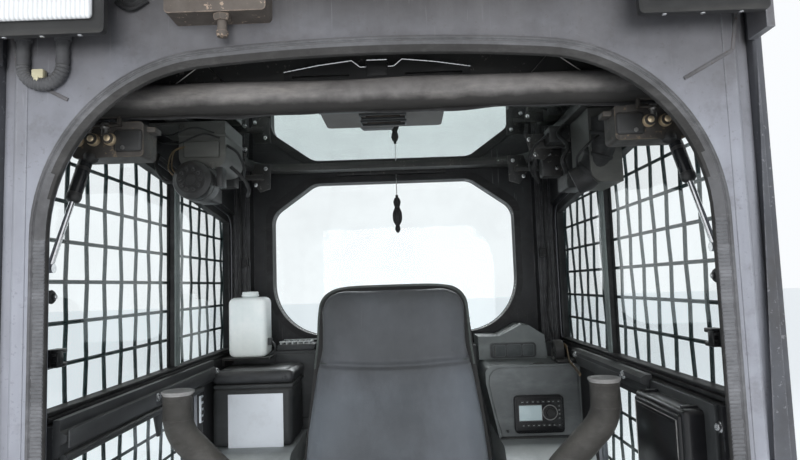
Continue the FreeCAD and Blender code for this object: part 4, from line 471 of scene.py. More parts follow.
def glazing(name, tint, haze=0.03, ior=1.45, mirror=0.0):
    """A pane with a film of dust and wiped smears."""
    material, tree, shader = surface(name, Transmission_Weight=1.0, IOR=ior, Metallic=mirror)
    film = patches(tree, 5.0, 7.0, 0.65, 0.45, 0.8, 0.0, 1.0)
    colour = mixed(tree, film, tint, toned(tint, 0.9))
    finished(tree, shader, colour, span(tree, film, 0, 1, 0.0, haze))
    return material


def vinyl():
    """The seat's vinyl: grained, with dust in its folds; rubbed patches are glossier and paler with a
    painted bluish sheen, the lower part carries more painted sheen and the head part painted shade.
    """
    material, tree, shader = surface("seat_vinyl", Specular_IOR_Level=0.5, Coat_Weight=0.05,
                                     Coat_Roughness=0.4)
    colour = clouded(tree, 3.2, (0.052, 0.055, 0.060), (0.088, 0.093, 0.102))
    # Rubbed patches: lower roughness, and a paler bluish colour that is a painted sheen.
    rubbed = patches(tree, 3.2, 6.0, 0.62, 0.46, 0.72, 0.0, 0.6, stretch=(2.2, 2.2, 1.1))
    colour = mixed(tree, rubbed, colour, (0.135, 0.147, 0.170))
    # Painted sheen: soft bluish-pale patches over the lower part.
    lower = span(tree, axis_of(tree, "Z"), 0.80, 0.88, 0.45, 0.0)
    sheen_patches = patches(tree, 2.4, 3.0, 0.5, 0.35, 0.65, stretch=(1.5, 1.0, 1.2))
    colour = mixed(tree, maths(tree, "MULTIPLY", lower, sheen_patches), colour, (0.170, 0.195, 0.225))
    # Painted shade: the head part above the seam is darker.
    head = span(tree, axis_of(tree, "Z"), 0.84, 0.87, 0.0, 0.45)
    colour = mixed(tree, head, colour, (0.062, 0.064, 0.068))
    colour = mixed(tree, effect(tree, "scratches", Amount=0.2), colour, (0.2, 0.2, 0.21))
    colour = mixed(tree, effect(tree, "dust", Amount=0.15), colour, (0.3, 0.29, 0.27))
    finished(tree, shader, colour, span(tree, rubbed, 0, 0.6, 0.52, 0.36))
    creases = noise_of(tree, here(tree, (1, 1, 3)), 26.0, 5.0, 0.6)
    height = maths(tree, "ADD", effect(tree, "grain", Scale=620.0), maths(tree, "MULTIPLY", creases, 1.6))
    bumped(tree, shader, height, 0.35, 0.0006)
    return material


def bottle_plastic():
    """Milky plastic that lets light through, a little stained low down."""
    material, tree, shader = surface("bottle_plastic", Specular_IOR_Level=0.5, Subsurface_Weight=0.35,
                                     Subsurface_Scale=0.03, Subsurface_Radius=(1.0, 1.0, 1.0))
    colour = clouded(tree, 12.0, (0.80, 0.87, 0.87), (0.92, 0.96, 0.95))
    low = span(tree, axis_of(tree, "Z"), 0.88, 0.95, 0.35, 0.0)
    colour = mixed(tree, low, colour, (0.52, 0.55, 0.50))
    finished(tree, shader, colour, 0.34)
    pitted(tree, shader, 90.0, 3.0, 0.5, 0.1, 0.0008)
    return material


def lens_glass():
    """The work lamps' lenses, pale, with fine upright flutes."""
    material, tree, shader = surface("lamp_lens", Specular_IOR_Level=0.6, Coat_Weight=0.6,
                                     Coat_Roughness=0.06)
    flutes = add(tree, "TexWave", {"bands_direction": "X", "wave_profile": "SIN"}, Vector=here(tree),
                 Scale=55.0)
    colour = mixed(tree, flutes.outputs["Fac"], (0.62, 0.63, 0.64), (0.86, 0.87, 0.88))
    grime = patches(tree, 20.0, 6.0, 0.65, 0.5, 0.8, 0.0, 0.4)
    finished(tree, shader, mixed(tree, grime, colour, (0.45, 0.42, 0.37)), 0.22)
    bumped(tree, shader, flutes.outputs["Fac"], 0.5, 0.0008)
    return material


def lining_cloth():
    """The roof lining: felted, with a fine nap."""
    material, tree, shader = surface("lining", Sheen_Weight=0.3, Specular_IOR_Level=0.15)
    colour = clouded(tree, 5.0, (0.035, 0.035, 0.033), (0.06, 0.06, 0.056))
    nap = noise_of(tree, here(tree), 900.0, 3.0, 0.7)
    finished(tree, shader, mixed(tree, span(tree, nap, 0.4, 0.7), colour, (0.085, 0.085, 0.08)), 0.95)
    bumped(tree, shader, nap, 0.5, 0.0008)
    return material


def blank_sheet():
    """A plain pale plate with faint grime."""
    material, tree, shader = surface("blank_plate", Specular_IOR_Level=0.4)
    grime = patches(tree, 24.0, 6.0, 0.7, 0.5, 0.8, 0.0, 0.3)
    colour = mixed(tree, grime, (0.76, 0.80, 0.85), (0.46, 0.46, 0.47))
    finished(tree, shader, colour, 0.45)
    pitted(tree, shader, 60.0, 3.0, 0.5, 0.15, 0.0006)
    return material


def screen_face():
    """A small display that is lit grey-blue."""
    material, tree, shader = surface("screen_face", Coat_Weight=0.7, Coat_Roughness=0.05)
    rows = add(tree, "TexWave", {"bands_direction": "Z"}, Vector=here(tree), Scale=160.0)
    colour = mixed(tree, rows.outputs["Fac"], (0.42, 0.53, 0.55), (0.53, 0.63, 0.65))
    finished(tree, shader, colour, 0.3)
    return material


def ribbed_floor():
    """The floor mat."""
    material, tree, shader = surface("floor_coating", Specular_IOR_Level=0.3)
    ribs = add(tree, "TexWave", {"bands_direction": "X"}, Vector=here(tree), Scale=28.0)
    colour = mixed(tree, ribs.outputs["Fac"], (0.02, 0.02, 0.02), (0.045, 0.045, 0.043))
    colour = mixed(tree, effect(tree, "dust", Amount=0.5), colour, (0.17, 0.15, 0.12))
    finished(tree, shader, colour, 0.8)
    bumped(tree, shader, ribs.outputs["Fac"], 0.8, 0.002)
    return material


PAINT = frame_paint()
WALLS = wall_paint()
DOOR_PAINT = worn_paint("door_paint", (0.030, 0.030, 0.030), (0.055, 0.055, 0.053), (0.16, 0.15, 0.14))
BRACKET_PAINT = worn_paint("bracket_paint", (0.085, 0.072, 0.062), (0.14, 0.12, 0.105), (0.34, 0.26, 0.20),
                           rough=0.6, wear_and_highlight=1.0, scale=8.0)
RUSTY = worn_paint("carriage_paint", (0.034, 0.031, 0.029), (0.072, 0.066, 0.060), (0.16, 0.12, 0.08),
                   rough=0.55, wear_and_highlight=0.7, scale=12.0)
STRAP_PAINT = worn_paint("strap_paint", (0.085, 0.082, 0.084), (0.15, 0.148, 0.155), (0.085, 0.062, 0.050),
                         rough=0.6, wear_and_highlight=1.0, scale=14.0)
# Dark paint for the pillars' outer mouldings, also used as the painted shade band on the right pillar.
FLANGE_AND_SHADE_PAINT = worn_paint("flange_and_shade_paint", (0.062, 0.064, 0.072), (0.105, 0.108, 0.120), (0.26, 0.26, 0.28),
                          rough=0.45, wear_and_highlight=0.6)
BLACK_STEEL = worn_paint("black_steel", (0.014, 0.014, 0.014), (0.030, 0.030, 0.031), (0.14, 0.13, 0.12),
                         rough=0.42)
GUARD_PAINT = worn_paint("guard_paint", (0.006, 0.020, 0.021), (0.014, 0.038, 0.039), (0.06, 0.07, 0.07),
                         rough=0.5, wear_and_highlight=0.3, dusty=0.1)
SEAL_RUBBER = rubber("door_rubber", (0.078, 0.077, 0.079), (0.138, 0.138, 0.145), rough=0.55)
SEAL_SHADE = rubber("seal_shade", (0.026, 0.025, 0.024), (0.048, 0.046, 0.045), rough=0.6)
RIB_RUBBER = rubber("rib_rubber", (0.100, 0.101, 0.106), (0.160, 0.162, 0.171), rough=0.65)
BLACK_RUBBER = rubber("black_rubber", (0.010, 0.010, 0.010), (0.022, 0.022, 0.023), rough=0.55, dusty=0.12)
BAR_RUBBER = bar_rubber()
LEVER_RUBBER = rubber("lever_rubber", (0.032, 0.030, 0.028), (0.066, 0.063, 0.058), rough=0.6, dusty=0.3)
LEVER_CAP = rubber("lever_cap", (0.19, 0.185, 0.18), (0.31, 0.305, 0.30), rough=0.5, dusty=0.2)
SIDE_GLASS = glazing("tinted_glass", (0.94, 0.98, 0.98), 0.02, 1.22)
DOOR_GLASS = glazing("door_glass", (0.90, 0.96, 0.92), 0.02, 1.6, 0.6)
LENS = lens_glass()
RAIL_STEEL = metal("rail_steel", (0.45, 0.44, 0.43), 0.35, rust=0.4)
BRASS = metal("stud_brass", (0.90, 0.72, 0.48), 0.32, rust=0.12, bare=0.6)
BRIGHT = metal("bright_steel", (0.75, 0.75, 0.76), 0.22, rust=0.1)
CHROME = metal("strut_chrome", (0.82, 0.83, 0.85), 0.08)
STRUT_PAINT = moulded("strut_paint", (0.010, 0.011, 0.012), (0.018, 0.019, 0.021), rough=0.22, relief=0.05)
BLACK_PLASTIC = moulded("black_plastic", (0.016, 0.016, 0.016), (0.030, 0.030, 0.030), rough=0.45)
BLACK_GLOSS = moulded("black_gloss", (0.004, 0.004, 0.005), (0.007, 0.007, 0.008), rough=0.3, relief=0.02,
                      dusty=0.05, wear_and_highlight=0.1)
DARK_PLASTIC = moulded("dark_plastic", (0.030, 0.032, 0.033), (0.050, 0.053, 0.055), rough=0.48)
HOUSING_PLASTIC = moulded("housing_plastic", (0.070, 0.070, 0.065), (0.105, 0.106, 0.098), rough=0.5)
BLOWER_PLASTIC = moulded("blower_plastic", (0.012, 0.012, 0.012), (0.022, 0.022, 0.022), rough=0.35)
LID_PLASTIC = moulded("lid_plastic", (0.030, 0.031, 0.033), (0.048, 0.050, 0.053), rough=0.3, relief=0.12)
TRAY_PLASTIC = moulded("tray_plastic", (0.052, 0.042, 0.036), (0.074, 0.061, 0.052), rough=0.5)
RAIL_PLASTIC = moulded("rail_plastic", (0.034, 0.035, 0.036), (0.056, 0.058, 0.060), rough=0.4)
CONDUIT_GREY = moulded("conduit_grey", (0.050, 0.050, 0.052), (0.095, 0.095, 0.099), rough=0.5, dusty=0.3)
STRIP_PLASTIC = moulded("strip_plastic", (0.13, 0.155, 0.150), (0.18, 0.21, 0.205), rough=0.45)
BROWN_LEAD = moulded("brown_lead", (0.085, 0.058, 0.030), (0.135, 0.095, 0.052), rough=0.45)
GREY_PLASTIC = moulded("grey_plastic", (0.098, 0.106, 0.108), (0.142, 0.153, 0.156), rough=0.55)
DASH_SHELL = moulded("dash_shell", (0.100, 0.111, 0.111), (0.142, 0.155, 0.155), rough=0.5)
DASH_DARK = moulded("dash_dark", (0.040, 0.046, 0.047), (0.060, 0.067, 0.069), rough=0.45)
PALE_PLASTIC = moulded("pale_plastic", (0.33, 0.355, 0.355), (0.43, 0.455, 0.455), rough=0.5)
CLIP_PLASTIC = moulded("clip_plastic", (0.42, 0.38, 0.24), (0.58, 0.54, 0.38), rough=0.45)
AMBER = moulded("amber_strip", (0.42, 0.20, 0.03), (0.60, 0.30, 0.05), rough=0.3)
LINING = lining_cloth()
VINYL = vinyl()
PIPING = rubber("piping", (0.050, 0.058, 0.055), (0.075, 0.085, 0.080), rough=0.5, dusty=0.05)
BOTTLE = bottle_plastic()
PLATE = blank_sheet()
SCREEN = screen_face()
FLOOR_MAT = ribbed_floor()

# What each plain node is made of; a node that a piece stands for isn't seen.
NODE_MATERIALS = {name: material for material, names in {
    PAINT: "front_frame roof_panel",
    WALLS: "side_wall_left side_wall_right rear_wall base_frame",
    FLOOR_MAT: "floor_plate",
    BRACKET_PAINT: "header_bracket",
    BLACK_STEEL: "bottle_bracket seat_pan lever_brackets door_hangers seat_pedestal rear_header_bar",
    BLACK_RUBBER: "rear_window_seal window_frame_left window_frame_right",
    SIDE_GLASS: "side_glass_left side_glass_right rear_window_glass",
    DOOR_GLASS: "stowed_door_glass",
    DOOR_PAINT: "stowed_door_frame",
    TRAY_PLASTIC: "door_latch_cover",
    BLACK_PLASTIC: "door_handle seat_back_shell",
    RAIL_STEEL: "door_rails seat_slide_rails",
    RUSTY: "roller_carriages",
    STRUT_PAINT: "strut_cylinders",
    CHROME: "strut_rods",
    LINING: "roof_lining",
    HOUSING_PLASTIC: "overhead_housing overhead_duct",
    PALE_PLASTIC: "side_consoles",
    DARK_PLASTIC: "rear_console",
    DASH_SHELL: "right_dash",
    LEVER_RUBBER: "control_lever_left control_lever_right",
    RAIL_PLASTIC: "belt_rails",
}.items() for name in names.split()}


def dress_nodes():
    for name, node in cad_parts.items():
        node.data.materials.clear()
        node.data.materials.append(NODE_MATERIALS.get(name, BLACK_PLASTIC))


# Shape tools, all in millimetres

def joined(thing, body, slot, stands_for=()):
    """Puts a finished thing into the scene and on its body; the slot is not used."""
    scene.collection.objects.link(thing)
    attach(thing, body)
    if stands_for:
        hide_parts(*stands_for)
    return thing


def mesh_from(name, work, *materials):
    """A mesh in metres from a finished bmesh in millimetres."""
    bmesh.ops.recalc_face_normals(work, faces=work.faces)
    bmesh.ops.scale(work, vec=(MM, MM, MM), verts=work.verts)
    mesh = bpy.data.meshes.new(name)
    work.to_mesh(mesh)
    work.free()
    for each in materials:
        mesh.materials.append(each)
    return mesh


def made(name, work, material, slot, body="cab", stands_for=(), sharp=32, extra=()):
    """Turns a finished bmesh into a piece that rides on a body."""
    bmesh.ops.remove_doubles(work, verts=work.verts, dist=0.001)
    mesh = mesh_from(name, work, material, *extra)
    mesh.shade_smooth()
    mesh.set_sharp_from_angle(angle=math.radians(sharp))
    return joined(bpy.data.objects.new(name, mesh), body, slot, stands_for)


def softened(work, edges, by, steps, profile=0.5):
    """Rounds some edges."""
    bmesh.ops.bevel(work, geom=list(edges), offset=by, segments=steps, profile=profile, affect="EDGES",
                    material=-1)


def edges_at(verts):
    return {edge for vert in verts for edge in vert.link_edges}


def slab(work, low, high, round_by=0.0, steps=2):
    """A block between two corners, its edges rounded."""
    low, high = Vector(low), Vector(high)
    shape = Matrix.Translation((low + high) / 2) @ Matrix.Diagonal((*(high - low), 1.0))
    verts = bmesh.ops.create_cube(work, size=1.0, matrix=shape)["verts"]
    if round_by:
        softened(work, edges_at(verts), round_by, steps)
    return verts


def everything(work):
    return work.verts[:] + work.edges[:] + work.faces[:]


def verts_of(result):
    """The vertices among what an operation made."""
    return [item for item in result["geom"] if isinstance(item, bmesh.types.BMVert)]


@contextmanager
def piece(name, material, slot, body="cab", mirrored=False, **more):
    """A piece that the block under it builds; mirrored, it is built on the right and copied to the left."""
    work = bmesh.new()
    yield work
    if mirrored:
        copy = bmesh.ops.duplicate(work, geom=everything(work))
        bmesh.ops.scale(work, vec=(-1, 1, 1), verts=verts_of(copy))
    made(name, work, material, slot, body, **more)


def round_angles(count):
    """Equal angles round a full turn."""
    return [math.tau * number / count for number in range(count)]


def facing(direction):
    """The rotation that takes +Z to a direction."""
    return Vector((0, 0, 1)).rotation_difference(Vector(direction)).to_matrix().to_4x4()


def turned(work, place, direction, profile, steps=24):
    """A shape turned about a line: the profile is (radius, distance along the line)."""
    turn = Matrix.Translation(Vector(place)) @ facing(direction)
    verts = [work.verts.new(turn @ Vector((radius, 0, along))) for radius, along in profile]
    edges = [work.edges.new(pair) for pair in zip(verts, verts[1:])]
    bmesh.ops.spin(work, geom=verts + edges, cent=place, axis=Vector(direction).normalized(),
                   angle=math.tau, steps=steps, use_merge=True)


def disc_bolt(work, place, direction, radius, height):
    """A hexagon head on a round flange."""
    turned(work, place, direction,
           [(0, 0), (radius * 1.35, 0), (radius * 1.35, height * 0.3), (radius * 1.1, height * 0.4),
            (0, height * 0.4)], 18)
    middle = Vector(place) + Vector(direction).normalized() * height * 0.7
    turn = Matrix.Translation(middle) @ facing(direction)
    verts = bmesh.ops.create_cone(work, cap_ends=True, segments=6, radius1=radius, radius2=radius * 0.94,
                                  depth=height * 0.7, matrix=turn)["verts"]
    softened(work, edges_at(verts), radius * 0.1, 1)


def plate(work, outline, out, round_by=0.0, steps=2):
    """A flat outline pushed out along a vector, its edges rounded."""
    verts = [work.verts.new(point) for point in outline]
    face = work.faces.new(verts)
    grown = bmesh.ops.extrude_face_region(work, geom=[face])
    moved = verts_of(grown)
    bmesh.ops.translate(work, vec=Vector(out), verts=moved)
    if round_by:
        softened(work, edges_at(verts + moved), round_by, steps)


def swept(work, stations, sides=16, caps=True):
    """A tube through stations of (centre, radius), its rings square to the line."""
    centres = [Vector(centre) for centre, _ in stations]
    rings = []
    for number, (centre, radius) in enumerate(stations):
        before, after = centres[max(number - 1, 0)], centres[min(number + 1, len(centres) - 1)]
        turn = Matrix.Translation(Vector(centre)) @ facing(after - before)
        cap = caps and number in (0, len(stations) - 1)
        ring = bmesh.ops.create_circle(work, cap_ends=cap, segments=sides, radius=radius,
                                       matrix=turn)["verts"]
        rings.append([edge for edge in {e for v in ring for e in v.link_edges} if all(v in ring
                                                                                      for v in edge.verts)])
    for first, second in zip(rings, rings[1:]):
        bmesh.ops.bridge_loops(work, edges=first + second)


def rounded(left, low, right, high, y, corner, steps=4):
    """The outline of an upright rectangle with rounded corners, at one depth."""
    outline = []
    for number, (x, z) in enumerate(((right - corner, high - corner), (left + corner, high - corner),
                                     (left + corner, low + corner), (right - corner, low + corner))):
        for step in range(steps + 1):
            angle = math.pi / 2 * (number + step / steps)
            outline.append(Vector((x + corner * math.cos(angle), y, z + corner * math.sin(angle))))
    return outline


def line_points(points, steps=8):
    """Points along a smooth line through a few chosen ones."""
    chosen = [Vector(point) for point in points]
    chosen = [chosen[0] * 2 - chosen[1]] + chosen + [chosen[-1] * 2 - chosen[-2]]
    line = []
    for a, b, c, d in zip(chosen, chosen[1:], chosen[2:], chosen[3:]):
        for step in range(steps):
            t = step / steps
            line.append(0.5 * (2 * b + (c - a) * t + (2 * a - 5 * b + 4 * c - d) * t ** 2
                               + (3 * b - a - 3 * c + d) * t ** 3))
    return line + [chosen[-2]]


def wire(work, points, radius, sides=8, steps=8):
    """A thin wire or hose along a smooth line."""
    swept(work, [(point, radius) for point in line_points(points, steps)], sides)


def thread(work, points, radius, sides=6):
    """A thin bead along straight runs."""
    for start, end in zip(points, points[1:]):
        swept(work, [(start, radius), (end, radius)], sides)


# Front of the cab

FACE = -490.0
SEAL_FRONT = -500.0
DOOR_HALF, DOOR_TOP, DOOR_SILL, DOOR_CORNER, DOOR_CROWN = 438.0, 1352.0, 100.0, 236.0, 2600.0


def corner_centre():
    """The corner arcs' centre (x, z), the lean of their upper end, and the crown arc's centre height."""
    x = DOOR_HALF - DOOR_CORNER
    crown = DOOR_TOP - DOOR_CROWN
    z = crown + math.sqrt((DOOR_CROWN - DOOR_CORNER) ** 2 - x ** 2)
    return x, z, math.atan2(z - crown, x), crown


def door_seal():
    """The seal round the doorway: one section led up the left pillar, over the arch and down the right."""
    x, z, lean, crown = corner_centre()
    section = [(0, -488), (0, -496.5), (1.6, -498.6), (4.5, -499.4), (6, -497.8), (7.2, -498.2), (9, -500),
               (13.5, -500.2), (19, -500), (22.5, -499), (24, -496.5), (23.4, -492), (17, -488)]
    work = bmesh.new()
    first = work.faces.new([work.verts.new((-DOOR_HALF + u, y, DOOR_SILL)) for u, y in section])

    def lead(face, steps, move=None, centre=None, angle=0.0):
        geom = [face] + list(face.edges) + list(face.verts)
        if move is not None:
            for _ in range(steps):
                grown = bmesh.ops.extrude_face_region(work, geom=[face])
                bmesh.ops.translate(work, vec=Vector(move) / steps, verts=verts_of(grown))
                face = next(item for item in grown["geom"] if isinstance(item, bmesh.types.BMFace))
            return face
        ring = bmesh.ops.spin(work, geom=geom, cent=centre, axis=(0, 1, 0), angle=angle, steps=steps)
        return next(item for item in ring["geom_last"] if isinstance(item, bmesh.types.BMFace))

    face = lead(first, 4, move=(0, 0, z - DOOR_SILL))
    face = lead(face, 20, centre=(-x, 0, z), angle=lean)
    face = lead(face, 24, centre=(0, 0, crown), angle=math.pi - 2 * lean)
    face = lead(face, 20, centre=(x, 0, z), angle=lean)
    lead(face, 4, move=(0, 0, DOOR_SILL - z))
    slab(work, (-DOOR_HALF + 24, -499, DOOR_SILL), (DOOR_HALF - 24, -488, DOOR_SILL + 24), 3)
    pitch, top = 4.6, z + 4
    count = int((top - DOOR_SILL - 40) / pitch)
    for sign in (-1, 1):
        for number in range(count):
            low = DOOR_SILL + 34 + number * pitch
            out = SEAL_FRONT - 0.7 + chance.uniform(-0.2, 0.2)
            ends = sorted((sign * (DOOR_HALF - 8.5 + chance.uniform(-1, 1)), sign * (DOOR_HALF - 22.5)))
            slab(work, (ends[0], out, low), (ends[1], SEAL_FRONT + 1.5, low + 3.5), 0.5, 1)

    def depth(point):
        """How far a point lies inside the doorway's steel edge."""
        if point.z < z:
            return DOOR_HALF - abs(point.x)
        if abs(point.x) > x + 1 and (abs(point.x) - x) * math.tan(lean) > point.z - z:
            return DOOR_CORNER - math.hypot(abs(point.x) - x, point.z - z)
        return DOOR_CROWN - math.hypot(point.x, point.z - crown)

    for face in work.faces:
        middle = face.calc_center_median()
        edge_of_shade = max(13.0, 22.8 - max(0.0, middle.z - z - 30) * 0.12)
        if depth(middle) > edge_of_shade:
            face.material_index = 2
        elif middle.z < z + 2 and middle.y < -500.2:
            face.material_index = 1
    made("door_seal_moulding", work, SEAL_RUBBER, "door_rubber", stands_for=["door_seal"], sharp=40,
         extra=(RIB_RUBBER, SEAL_SHADE))


def weld_straps():
    """The welded seams that run from the doorway's corners up to the header's ends."""
    with piece("weld_straps", STRAP_PAINT, "cab_paint", mirrored=True) as work:
        points = [(394, 1284), (458, 1319), (466, 1366), (464, 1420)]
        for (x1, z1), (x2, z2) in zip(points, points[1:]):
            run = Vector((x2 - x1, 0, z2 - z1))
            side = Vector((-run.z, 0, run.x)).normalized() * 2.4
            a, b = Vector((x1, FACE, z1)), Vector((x2, FACE, z2))
            plate(work, [a - side, b - side, b + side, a + side], (0, -2.2, 0), 1.0, 2)


def pillar_folds():
    """The pillars' raised strips and dark outer mouldings, and on the right one a dark band of painted
    shade, wider low down.
    """
    with piece("pillar_strips", PAINT, "cab_paint", mirrored=True) as work:
        slab(work, (446, FACE - 1.2, 102), (461, FACE + 1, 1438), 1.1, 3)
    # Painted shade: a dark plate on the right pillar's face where its outer side turns away from the light.
    with piece("pillar_shade_band", FLANGE_AND_SHADE_PAINT, "cab_paint") as work:
        outline = [(463, 98), (489.6, 98), (489.6, 1330), (487, 1260), (472, 881), (464, 690)]
        plate(work, [(x, FACE, z) for x, z in outline], (0, -1.0, 0), 0.4, 1)
    with piece("pillar_flanges", FLANGE_AND_SHADE_PAINT, "cab_paint", mirrored=True) as work:
        slab(work, (487, FACE + 3, 96), (500, FACE + 42, 1396), 4, 3)


def lamp_details():
    """The lamps' domed lenses, their rims and the screws under them."""
    with piece("lamp_lens_domes", LENS, "lamp_lens", stands_for=["work_lamp_lenses"],
               mirrored=True) as work:
        slab(work, (336, -551, 1366), (460, -543, 1423), 5, 3)

    with piece("lamp_shells", BLACK_PLASTIC, "black_plastic", stands_for=["work_lamps"],
               mirrored=True) as work:
        frame_verts = slab(work, (320.5, -549.5, 1347), (475.5, -536, 1435.5))
        hollow = [face for face in work.faces if face.normal.y < -0.9]
        bmesh.ops.inset_region(work, faces=hollow, thickness=9.0, depth=-5.0)
        softened(work, edges_at(vert for vert in frame_verts if vert.is_valid), 5, 3)
        bowl = slab(work, (330, -538, 1357), (466, -491, 1430))
        for vert in bowl:
            if vert.co.y > -500:
                vert.co.x = 398 + (vert.co.x - 398) * 0.72
                vert.co.z = 1404 + (vert.co.z - 1404) * 0.62
        softened(work, edges_at(bowl), 9, 3)
        slab(work, (372, -530, 1424), (424, -492, 1438), 3)

    with piece("lamp_screws", BRIGHT, "rail_steel", mirrored=True) as work:
        for x in (352, 398, 444):
            turned(work, (x, -543, 1347.5), DOWN,
                   [(0, 1.4), (2.4, 1.4), (3.0, 0.6), (3.0, 0), (0, 0)], 14)


def header_details():
    """The small fittings on the header: the grommet by the left lamp and the pin's nut."""
    with piece("header_grommet", BLACK_RUBBER, "black_rubber") as work:
        turned(work, (-312, FACE, 1424), AHEAD, [(0, 0), (22, 0), (22, 5), (17, 8), (15, 4), (0, 4)], 28)
        wire(work, [(-332, FACE - 4, 1410), (-312, FACE - 7, 1399), (-290, FACE - 4, 1411)], 2.6, 10)
    with piece("bracket_pin_nut", BRACKET_PAINT, "bracket_paint") as work:
        turned(work, (-187, -518, 1377), DOWN, [(0, 0), (11, 0), (11, 5), (9, 8), (0, 8)], 6)
        turned(work, (-187, -518, 1356), DOWN, [(0, 0), (7.4, 0), (7.8, 3), (6.4, 7), (0, 8)], 16)


def conduit():
    """The left lamp's corrugated conduit: down, round a tight bend and back up, with its clip."""
    middle, bend, high = -422.5, 25.5, 1372.0
    low = 1294 + 8.5 + bend
    line = [Vector((middle - bend, FACE - 9, high - step * (high - low) / 8)) for step in range(8)]
    line += [Vector((middle - bend * math.cos(a), FACE - 9, low - bend * math.sin(a)))
             for a in (math.pi * step / 36 for step in range(37))]
    line += [Vector((middle + bend, FACE - 9, low + step * (high - low) / 8)) for step in range(1, 9)]
    with piece("lamp_lead_conduit", CONDUIT_GREY, "black_plastic", stands_for=["lamp_conduit"]) as work:
        swept(work, [(point, 8.6 if number % 2 else 7.5) for number, point in enumerate(line)], 16)
        for end in (middle - bend, middle + bend):
            turned(work, (end, FACE - 9, high - 12), UP,
                   [(0, 0), (10.5, 0), (10.5, 10), (9, 12), (0, 12)], 18)
    with piece("conduit_clip", CLIP_PLASTIC, "black_plastic") as work:
        slab(work, (middle - 12, FACE - 14, 1310), (middle + 3, FACE - 3, 1322), 1.5)
        slab(work, (middle - 8, FACE - 16, 1305), (middle - 2, FACE - 12, 1312), 1.0)


# Under the roof

def bulb_seal():
    """The stowed door's bulb seal: a worn round bar with a dark wavy lip under it."""
    reach, y, z = 424.0, -410.0, 1303.0
    with piece("bulb_seal_bar", BAR_RUBBER, "door_rubber", stands_for=["door_bulb_seal"]) as work:
        stations = []
        for step in range(61):
            x = -reach + 2 * reach * step / 60
            stations.append(((x, y, z + 0.8 * math.sin(x / 61.0) - 1.2 * math.cos(x / 210.0)),
                             23.2 + 0.5 * math.sin(x / 37.0)))
        swept(work, stations, 36)
    with piece("bulb_seal_lip", BLACK_RUBBER, "door_rubber") as work:
        columns = 96
        bmesh.ops.create_grid(work, x_segments=columns, y_segments=3, size=0.5)
        for vert in work.verts:
            x, share = vert.co.x * 2 * reach, vert.co.y + 0.5
            wave = 2.2 * math.sin(x / 43.0) + 1.3 * math.sin(x / 17.0 + 1)
            vert.co = Vector((x, y - 3 + 5 * share, z - 18 - (1 - share) * (7 + 0.8 * wave)))
        bmesh.ops.solidify(work, geom=work.faces[:], thickness=2.4)


def handle_trim():
    """The pale rim along the handle's top and the raised block between its notches."""
    z = 1357.0
    with piece("handle_rim", BRIGHT, "rail_steel") as work:
        top = [(134, z - 14), (84, z - 5.5), (36, z), (24, z - 10), (16, z - 10)]
        for sign in (-1, 1):
            thread(work, [(sign * x, -398.2, height) for x, height in top], 0.9)
        thread(work, [(-15, -399.4, z - 10), (-15, -399.4, z - 0.5), (15, -399.4, z - 0.5),
                      (15, -399.4, z - 10)], 0.9)
    with piece("handle_block", BLACK_PLASTIC, "black_plastic") as work:
        slab(work, (-14.5, -400, z - 24), (14.5, -397.9, z - 1), 1)


def latch_details():
    """The latch cover's rims, tongue and slots."""
    with piece("latch_cover_rims", DARK_PLASTIC, "black_plastic") as work:
        slab(work, (-111, -220, 1333), (104, -205, 1341), 2.5)
        plate(work, [(-48, -101, 1335), (20, -101, 1335), (14, -72, 1335), (-42, -72, 1335)], (0, 0, 12), 2)
        for y in (-182, -137):
            for edge in (-15.5, 12.5):
                slab(work, (-40, y + edge, 1331.5), (40, y + edge + 3, 1336), 1)
            for x in (-42, 39):
                slab(work, (x, y - 15, 1331.5), (x + 3, y + 15, 1336), 1)


def roller_details():
    """The carriages' brass studs, their grub screws, the knob below and the slotted strip above."""
    with piece("carriage_studs", BRASS, "rail_steel", mirrored=True) as work:
        for x in (376, 399, 422):
            turned(work, (x, -411.5, 1250), AHEAD,
                   [(0, 14.2), (2, 13.9), (4.2, 12.9), (6.2, 11.2), (7.8, 8.8), (8.8, 6), (9.0, 3),
                    (8.6, 0), (0, 0)], 28)

    with piece("carriage_screws", RAIL_STEEL, "rail_steel", mirrored=True) as work:
        for x in (384, 407):
            turned(work, (x, -414, 1256), (0, 0.2, 1),
                   [(0, 0), (4.6, 0), (4.6, 9), (6.6, 11), (6.6, 16), (4.5, 19), (0, 20)], 18)
        disc_bolt(work, (358, -412, 1238), AHEAD, 3.6, 3.4)

    with piece("carriage_knobs", BLACK_PLASTIC, "black_plastic", mirrored=True) as work:
        turned(work, (406, -404, 1238), (0, -0.25, -1),
               [(0, 0), (5, 0), (5, 4), (9, 6), (10.6, 11), (9.4, 16), (5, 19.5), (0, 20.5)], 24)
        slab(work, (331, -415, 1232), (371, -408, 1264), 5, 3)

    with piece("carriage_strips", RUSTY, "black_steel", mirrored=True) as work:
        slab(work, (360, -418, 1267.5), (424, -406, 1271), 1)
        slab(work, (360, -418, 1280), (424, -406, 1284), 1)
        for x in (360, 419):
            slab(work, (x, -418, 1267.5), (x + 5, -406, 1284), 1)
        slab(work, (318, -400, 1262), (362, -376, 1270), 2)


def strut_details():
    """The gas struts' end collars and sockets."""
    top = Vector((416, -404, 1219))
    run = Vector((432, -460, 1070)) - top
    end = top + run * 0.36

    with piece("strut_collars", BLACK_PLASTIC, "black_plastic", mirrored=True) as work:
        turned(work, end - run.normalized() * 9, run,
               [(0, 0), (9.7, 0), (10.3, 4), (9.6, 9), (7.4, 12), (4.4, 13.5), (0, 13.5)], 24)
        turned(work, top + run.normalized() * 4, run, [(0, 0), (7, 0), (9.8, 4), (9.8, 9), (0, 9)], 24)
        turned(work, top, UP, [(0, -4), (8, -4), (9, 2), (7, 8), (0, 9)], 20)


